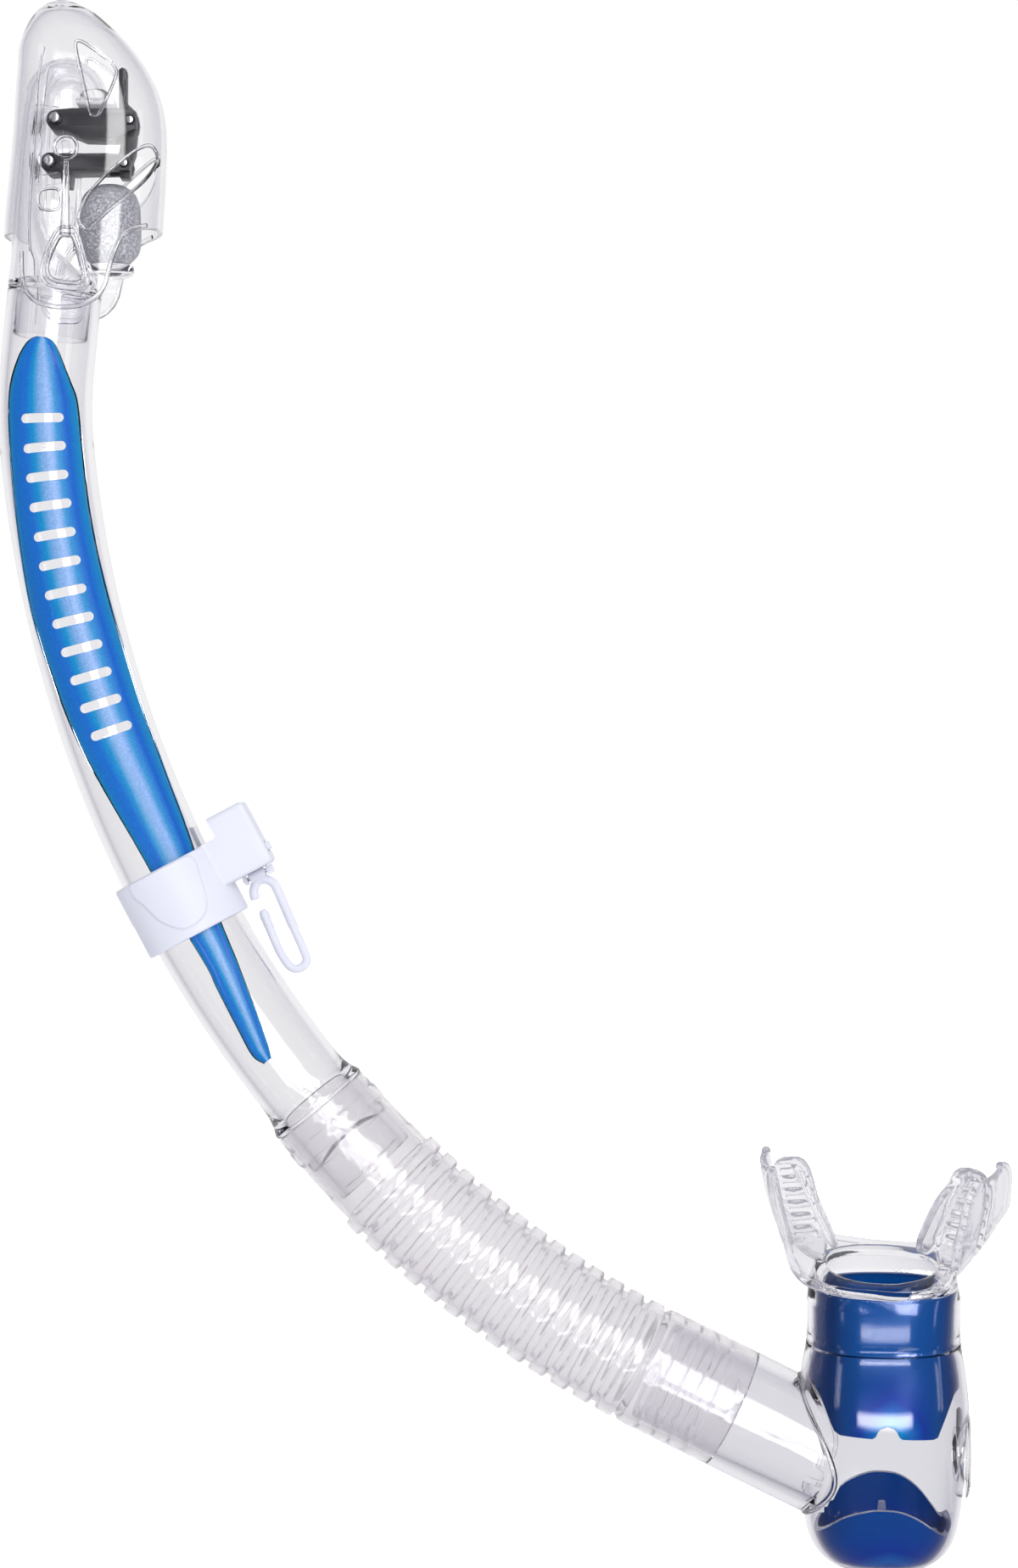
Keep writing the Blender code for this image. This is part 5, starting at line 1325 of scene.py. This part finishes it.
def build_shroud():
    inset = WALL + GAP
    rows = list(NECK)
    for z, half_x, half_y in CHAMBER_ROWS:
        if -161 < z < -140:
            rows.append((z, half_x - inset, half_y - inset))
    rings = chamber_rings(rows) + chamber_rings(rows, LINER)[::-1]
    shroud = loft(rings, CHAMBER_M, closed=True)
    cut(shroud, chamber_plate(SHROUD_EDGE), inlet_rod(10.0, 26.0, 17.0, 64))
    piece(bevel(shroud, 0.2, 2, 50), "neck_shroud", shroud_blue, "chamber",
          attributes=blue_fields(top=-128.0, low=-151.0, half_width=15.0))


def build_cover():
    rows = smooth_line(COVER, 4)
    inner_rows = [row for row in rows if row[0] > -188.6]
    cover = cup(chamber_rings(rows, WALL + GAP),
                chamber_rings(inner_rows, WALL + GAP + LINER), CHAMBER_M)
    fuse(cover, loft([chamber_oval(z, 8.0, 6.4, 64, 2.2) for z in (BASE, -189.4)], CHAMBER_M))
    wave = [(p.x, p.y) for p in smooth_line(COVER_WAVE, 4)]
    wave = [(-30, -183.0), *wave, (30, -179.8), (30, -165), (-30, -165)]
    cut(cover, chamber_plate(wave), inlet_rod(10.0, 24.0, 16.6, 64))
    for x in (-OUTLET_X, OUTLET_X):
        cut(cover, box(chamber_point(x - OUTLET_HALF, -OUTLET_Y, BASE - 3),
                       chamber_point(x + OUTLET_HALF, OUTLET_Y, -184), CHAMBER_M))
    piece(cover, "purge_cover", cover_blue, "chamber",
          attributes=blue_fields(top=-173.0, low=-190.0, half_width=20.0))


def build_purge_valve():
    """Oval seat with four holes round a stem hole, and the membrane below it."""
    seat = loft([chamber_oval(SEAT_Z + 1.5, 15.1, 11.9, power=2.3),
                 chamber_oval(SEAT_Z + 1.3, 15.4, 12.2, power=2.3),
                 chamber_oval(SEAT_Z, 15.4, 12.2, power=2.3)], CHAMBER_M)
    turns = [radians(45 + 90 * k) for k in range(4)]
    holes = [(6.2 * cos(t), 5.2 * sin(t), 2.9) for t in turns] + [(0, 0, 1.6)]
    for x, y, radius in holes:
        cut(seat, rod(chamber_point(x, y, SEAT_Z - 3), chamber_point(x, y, SEAT_Z + 4), radius,
                      CHAMBER_M))
    piece(seat, "purge_seat", clear, "chamber")
    membrane = turned(MEMBRANE, CHAMBER_M @ Matrix.Translation(chamber_point(0, 0, SEAT_Z)))
    piece(membrane, "purge_membrane", soft_silicone, "membrane")


# ---------------------------------------------------------------- mouthpiece
# skirt over the chamber's neck: (z, half width, half depth)
SKIRT = (
    (-132.2, 19.7, 14.7), (-131.9, 20.05, 15.05), (-131.2, 20.1, 15.1), (-130.4, 20.1, 15.1),
    (-129.8, 19.85, 14.85), (-125.0, 19.85, 14.85), (-121.6, 19.9, 14.9), (MOUTH_Z, 20.0, 15.0))
SKIRT_BORE = ((-132.2, 18.65, 13.6), (NECK_TOP + 0.3, 18.65, 13.6))
# below here everything is in the mouth's frame, Z up out of the skirt
# shield: (x, z, half depth)
SHIELD = (
    (-28.6, 38.2, 5.0), (-28.5, 36.6, 8.2), (-28.1, 33.0, 10.2), (-27.3, 28.0, 11.2),
    (-26.0, 22.5, 11.8), (-22.8, 15.0, 12.6), (-17.0, 10.2, 13.4), (-8.0, 8.7, 14.0),
    (0.0, 8.5, 14.0), (8.0, 8.7, 14.0), (17.0, 10.2, 13.4), (22.8, 15.0, 12.6),
    (26.0, 22.5, 11.8), (27.3, 28.0, 10.9), (28.1, 33.0, 10.2), (28.5, 36.6, 8.2),
    (28.6, 38.2, 5.0))
# (x, z) of the right one
BITE = (
    (28.0, 35.5), (23.4, 38.6), (19.0, 37.0), (16.6, 28.0), (14.6, 17.0), (16.0, 10.6),
    (22.0, 14.2), (26.0, 22.4))
# (y, z)
TAB = (
    (-8.2, 20.5), (-9.2, 27.5), (-7.2, 34.0), (0.0, 36.6), (7.2, 34.0), (9.2, 27.5),
    (8.2, 20.5), (0.0, 15.4))
WING_LEAN, WING_START, BULGE = 0.36, 9.0, 1.6
TAB_SLOPE, EDGE_R, RIDGE_N = 0.40, 1.15, 6


def mouth_ring(z, half_x, half_y):
    """An oval of the mouth's frame, given in the chamber's frame."""
    ring = []
    for point in oval(0, z, half_x, half_y, power=2.2):
        x, y, z = MOUTH_TURN @ Vector(point)
        ring.append((x + AXIS_X, y, z + MOUTH_Z - INLET_Z))
    return ring


def skirt():
    outer = chamber_rings(SKIRT, count=96) + [mouth_ring(6.6, 19.2, 14.3),
                                              mouth_ring(9.4, 17.4, 12.0)]
    inner = chamber_rings(SKIRT_BORE, count=96) + [mouth_ring(7.8, 15.4, 9.8),
                                                   mouth_ring(9.4, 15.1, 9.3)]
    return loft(outer + inner[::-1], CHAMBER_M, closed=True)


def lean(x, y, z):
    """How far a wing at this height leans in X, by depth."""
    return copysign(WING_LEAN, x) * y * unit((z - WING_START) / 14.0)


def shield_and_edges():
    """The sheet that rises into two wings, with a bead on its front and back edges."""
    path = smooth_line(SHIELD, 6)
    rings, near_edge, far_edge = [], [], []
    for i, (x, z, depth) in enumerate(path):
        before, after = path[max(0, i - 1)], path[min(len(path) - 1, i + 1)]
        length = hypot(after[0] - before[0], after[1] - before[1])
        normal_x, normal_z = -(after[1] - before[1]) / length, (after[0] - before[0]) / length
        ring = []
        for t in full_turn(20):
            y = copysign(abs(cos(t)) ** 0.6, cos(t))
            thick = 0.75 if abs(y) > 0.8 else 0.95
            height = copysign(abs(sin(t)) ** 0.8, sin(t)) * thick
            bulge = BULGE * (1 - y * y) * unit((z - WING_START) / 10.0)
            ring.append((x + normal_x * height + lean(x, y * depth, z) + copysign(bulge, x),
                         y * depth, z + normal_z * height))
        rings.append(ring)
        near_edge.append((x + lean(x, -depth, z), -depth * 0.97, z))
        far_edge.append((x + lean(x, depth, z), depth * 0.97, z))
    shield = loft(rings, MOUTH_M)
    cut(shield, loft([oval(0, 4.0, 14.8, 9.0, power=2.2), oval(0, 14.0, 14.4, 8.4, power=2.2)],
                     MOUTH_M))
    return [shield, wire(near_edge, EDGE_R, MOUTH_M), wire(far_edge, EDGE_R, MOUTH_M)]


def bite_and_ridges(side):
    parts = [plate(round_outline([(side * x, z) for x, z in BITE]), -2.3, 2.3, MOUTH_M)]
    for k in range(RIDGE_N):
        t = k / (RIDGE_N - 1)
        z = 16.6 + 18.0 * t
        inner, outer = 17.2 + 1.4 * t, 23.0 + 3.0 * t
        for y in (-2.5, 2.5):
            line = [(side * inner, y, z + 0.6), (side * (inner + outer) / 2, y * 1.08, z),
                    (side * outer, y, z - 0.3)]
            parts.append(wire(line, [0.75, 0.95, 0.75], MOUTH_M))
    return parts


def tab_and_rim(side):
    """A leaning oval tab inside each wing, with a bead round it."""
    outline = round_outline(TAB, 6)

    def ring(offset, spread):
        return [(side * (offset + (z - 15) * TAB_SLOPE + y * WING_LEAN), y * spread, z)
                for y, z in outline]

    shape = bmesh.new()
    add_prism(shape, ring(11.8, 0.97), ring(13.0, 0.97))
    return [solid(shape, MOUTH_M), wire(ring(12.4, 0.95), 1.05, MOUTH_M, closed=True)]


def build_mouthpiece():
    parts = [skirt(), *shield_and_edges()]
    for side in (-1, 1):
        parts += bite_and_ridges(side) + tab_and_rim(side)
    piece(meld(parts, voxel=0.36, smooth=3), "mouthpiece", mouth_silicone, "chamber", sharp=0,
          attributes={"wing": lambda point: unit((point.z + 117.0) / 8.0)})


# ---------------------------------------------------------------- floor, light and camera
# softboxes: (slopes to the side, slopes upwards, power), slopes seen looking to the front
SOFTBOXES = (
    ((0.06, 0.50), (-0.10, 0.95), 8.5), ((-0.42, 0.34), (-0.37, -0.23), 7.0),
    ((-1.25, -1.0), (-0.3, 0.9), 1.8), ((1.5, 1.9), (-0.4, 0.8), 2.0))
SOFTBOX_EDGE = 0.04
# tones of the room, from the front (0) to the back (1)
ROOM_TONES = (
    (0.00, (0.05, 0.05, 0.055)), (0.30, (0.07, 0.07, 0.08)), (0.50, (0.15, 0.145, 0.18)),
    (0.68, (0.36, 0.35, 0.41)), (0.84, (0.80, 0.79, 0.82)), (0.94, (1.0, 1.0, 1.0)))
# seen through the clear pieces the room is paler, so they stay clear from every side
THROUGH_TONES = (
    (0.00, (0.95, 0.95, 0.96)), (0.30, (0.84, 0.835, 0.86)), (0.50, (0.64, 0.63, 0.67)),
    (0.68, (0.68, 0.67, 0.71)), (0.84, (0.90, 0.895, 0.91)), (0.94, (1.0, 1.0, 1.0)))


def build_floor():
    """A pale floor, clear of the snorkel, which hangs from its keeper."""
    material, nodes = new_material("pale_floor")
    tone = nodes.ramp(nodes.noise(3.0, detail=2.0),
                      ((0.3, (0.84, 0.84, 0.85)), (0.7, (0.86, 0.86, 0.87))))
    pale = nodes.add("BsdfDiffuse", Color=tone)
    seen = nodes.add("LightPath").outputs["Is Camera Ray"]
    glow = nodes.add("Emission", Color=(1.0, 1.0, 1.0),
                     Strength=nodes.scaled(seen, factor=0.5, offset=0.25))
    nodes.finish(nodes.join("AddShader", pale, glow))
    shape = bmesh.new()
    bmesh.ops.create_grid(shape, x_segments=1, y_segments=1, size=6.0)
    floor = mesh_object(shape, "floor")
    floor.location = (0.05, 0.0, CAD_BOUNDS[0][2] - 0.060)
    floor.data.materials.append(material)
    floor.visible_glossy = False
    floor.visible_transmission = False


def softbox(nodes, x, y, z, across, up):
    """1 inside a soft-edged rectangle in front, 0 outside."""
    ahead = nodes.math("MAXIMUM", nodes.math("MULTIPLY", y, -1.0), 0.001)
    mask = nodes.math("GREATER_THAN", nodes.math("MULTIPLY", y, -1.0), 0.05)
    for axis, (low, high) in ((x, across), (z, up)):
        slope = nodes.math("DIVIDE", axis, ahead)
        for first, second in ((slope, low), (high, slope)):
            inside = nodes.math("SUBTRACT", first, second)
            edge = nodes.math("DIVIDE", inside, SOFTBOX_EDGE, clamp=True)
            mask = nodes.math("MULTIPLY", mask, edge)
    return mask


def build_world():
    world = bpy.data.worlds.new("studio")
    world.use_nodes = True
    scene.world = world
    nodes = Nodes(world.node_tree)
    direction = nodes.add("TexCoord").outputs["Generated"]
    split = nodes.add("SeparateXYZ", Vector=direction).outputs
    x, y, z = split["X"], split["Y"], split["Z"]
    back = nodes.scaled(y, factor=0.5, offset=0.5)
    tone = nodes.ramp(back, ROOM_TONES)
    tone_through = nodes.ramp(back, THROUGH_TONES)
    boxes = None
    for across, up, power in SOFTBOXES:
        lit = nodes.math("MULTIPLY", softbox(nodes, x, y, z, across, up), power)
        boxes = lit if boxes is None else nodes.math("ADD", boxes, lit)
    # diffuse light: a soft white, stronger from the right and from above
    shade = nodes.math("ADD", nodes.math("MULTIPLY", x, 0.24), nodes.math("MULTIPLY", z, 0.18))
    shade = nodes.math("ADD", shade, 0.74)
    soft_white = nodes.mix(shade, (0.0, 0.0, 0.0), (1.0, 1.0, 1.03))
    path = nodes.add("LightPath").outputs
    unreflected = nodes.math("LESS_THAN", path["Glossy Depth"], 0.5)
    through = nodes.math("MULTIPLY", path["Is Transmission Ray"], unreflected)
    tone = nodes.mix(through, tone, tone_through)
    room = nodes.add("Background", Color=nodes.mix(path["Is Diffuse Ray"], tone, soft_white))
    hidden = nodes.math("MAXIMUM", path["Is Diffuse Ray"], path["Is Camera Ray"])
    strength = nodes.math("MULTIPLY", boxes, nodes.math("SUBTRACT", 1.0, hidden))
    extra = nodes.add("Background", Color=(1.0, 1.0, 1.0), Strength=strength)
    lighting = nodes.join("AddShader", room, extra)
    plain = nodes.add("Background", Color=(1.0, 1.0, 1.0))
    nodes.finish(nodes.join("MixShader", lighting, plain, Fac=path["Is Camera Ray"]),
                 "OutputWorld")


def build_light():
    light = bpy.data.lights.new("top_box", "AREA")
    light.shape, light.size, light.size_y = "RECTANGLE", 1.0, 0.8
    light.energy = 0.5
    top_box = new_object("top_box", light)
    top_box.location = (0.25, -0.5, 1.2)
    aim = Vector((0.05, 0, 0)) - Vector(top_box.location)
    top_box.rotation_euler = aim.to_track_quat("-Z", "Y").to_euler()
    top_box.visible_camera = False


def build_camera():
    camera = bpy.data.cameras.new("camera")
    camera.lens, camera.sensor_width = 86.8, 36.0
    view = new_object("camera", camera)
    view.location = (VIEW_X * MM, -VIEW_DISTANCE * MM, VIEW_Z * MM)
    view.rotation_euler = (pi / 2, 0, 0)
    scene.camera = view


def set_render():
    scene.view_settings.view_transform = "Standard"
    # many bounces, for the walls within walls of clear plastic
    scene.cycles.max_bounces = 28
    scene.cycles.transmission_bounces = 28
    scene.cycles.transparent_max_bounces = 48
    scene.cycles.glossy_bounces = 8


for build in (build_tube, build_inlay, build_head, build_hood, build_arms, build_link,
              build_float, build_keeper, build_button_and_carrier, build_hook, build_hose,
              build_chamber, build_shroud, build_cover, build_purge_valve, build_mouthpiece,
              build_floor, build_world, build_light, build_camera, set_render):
    build()
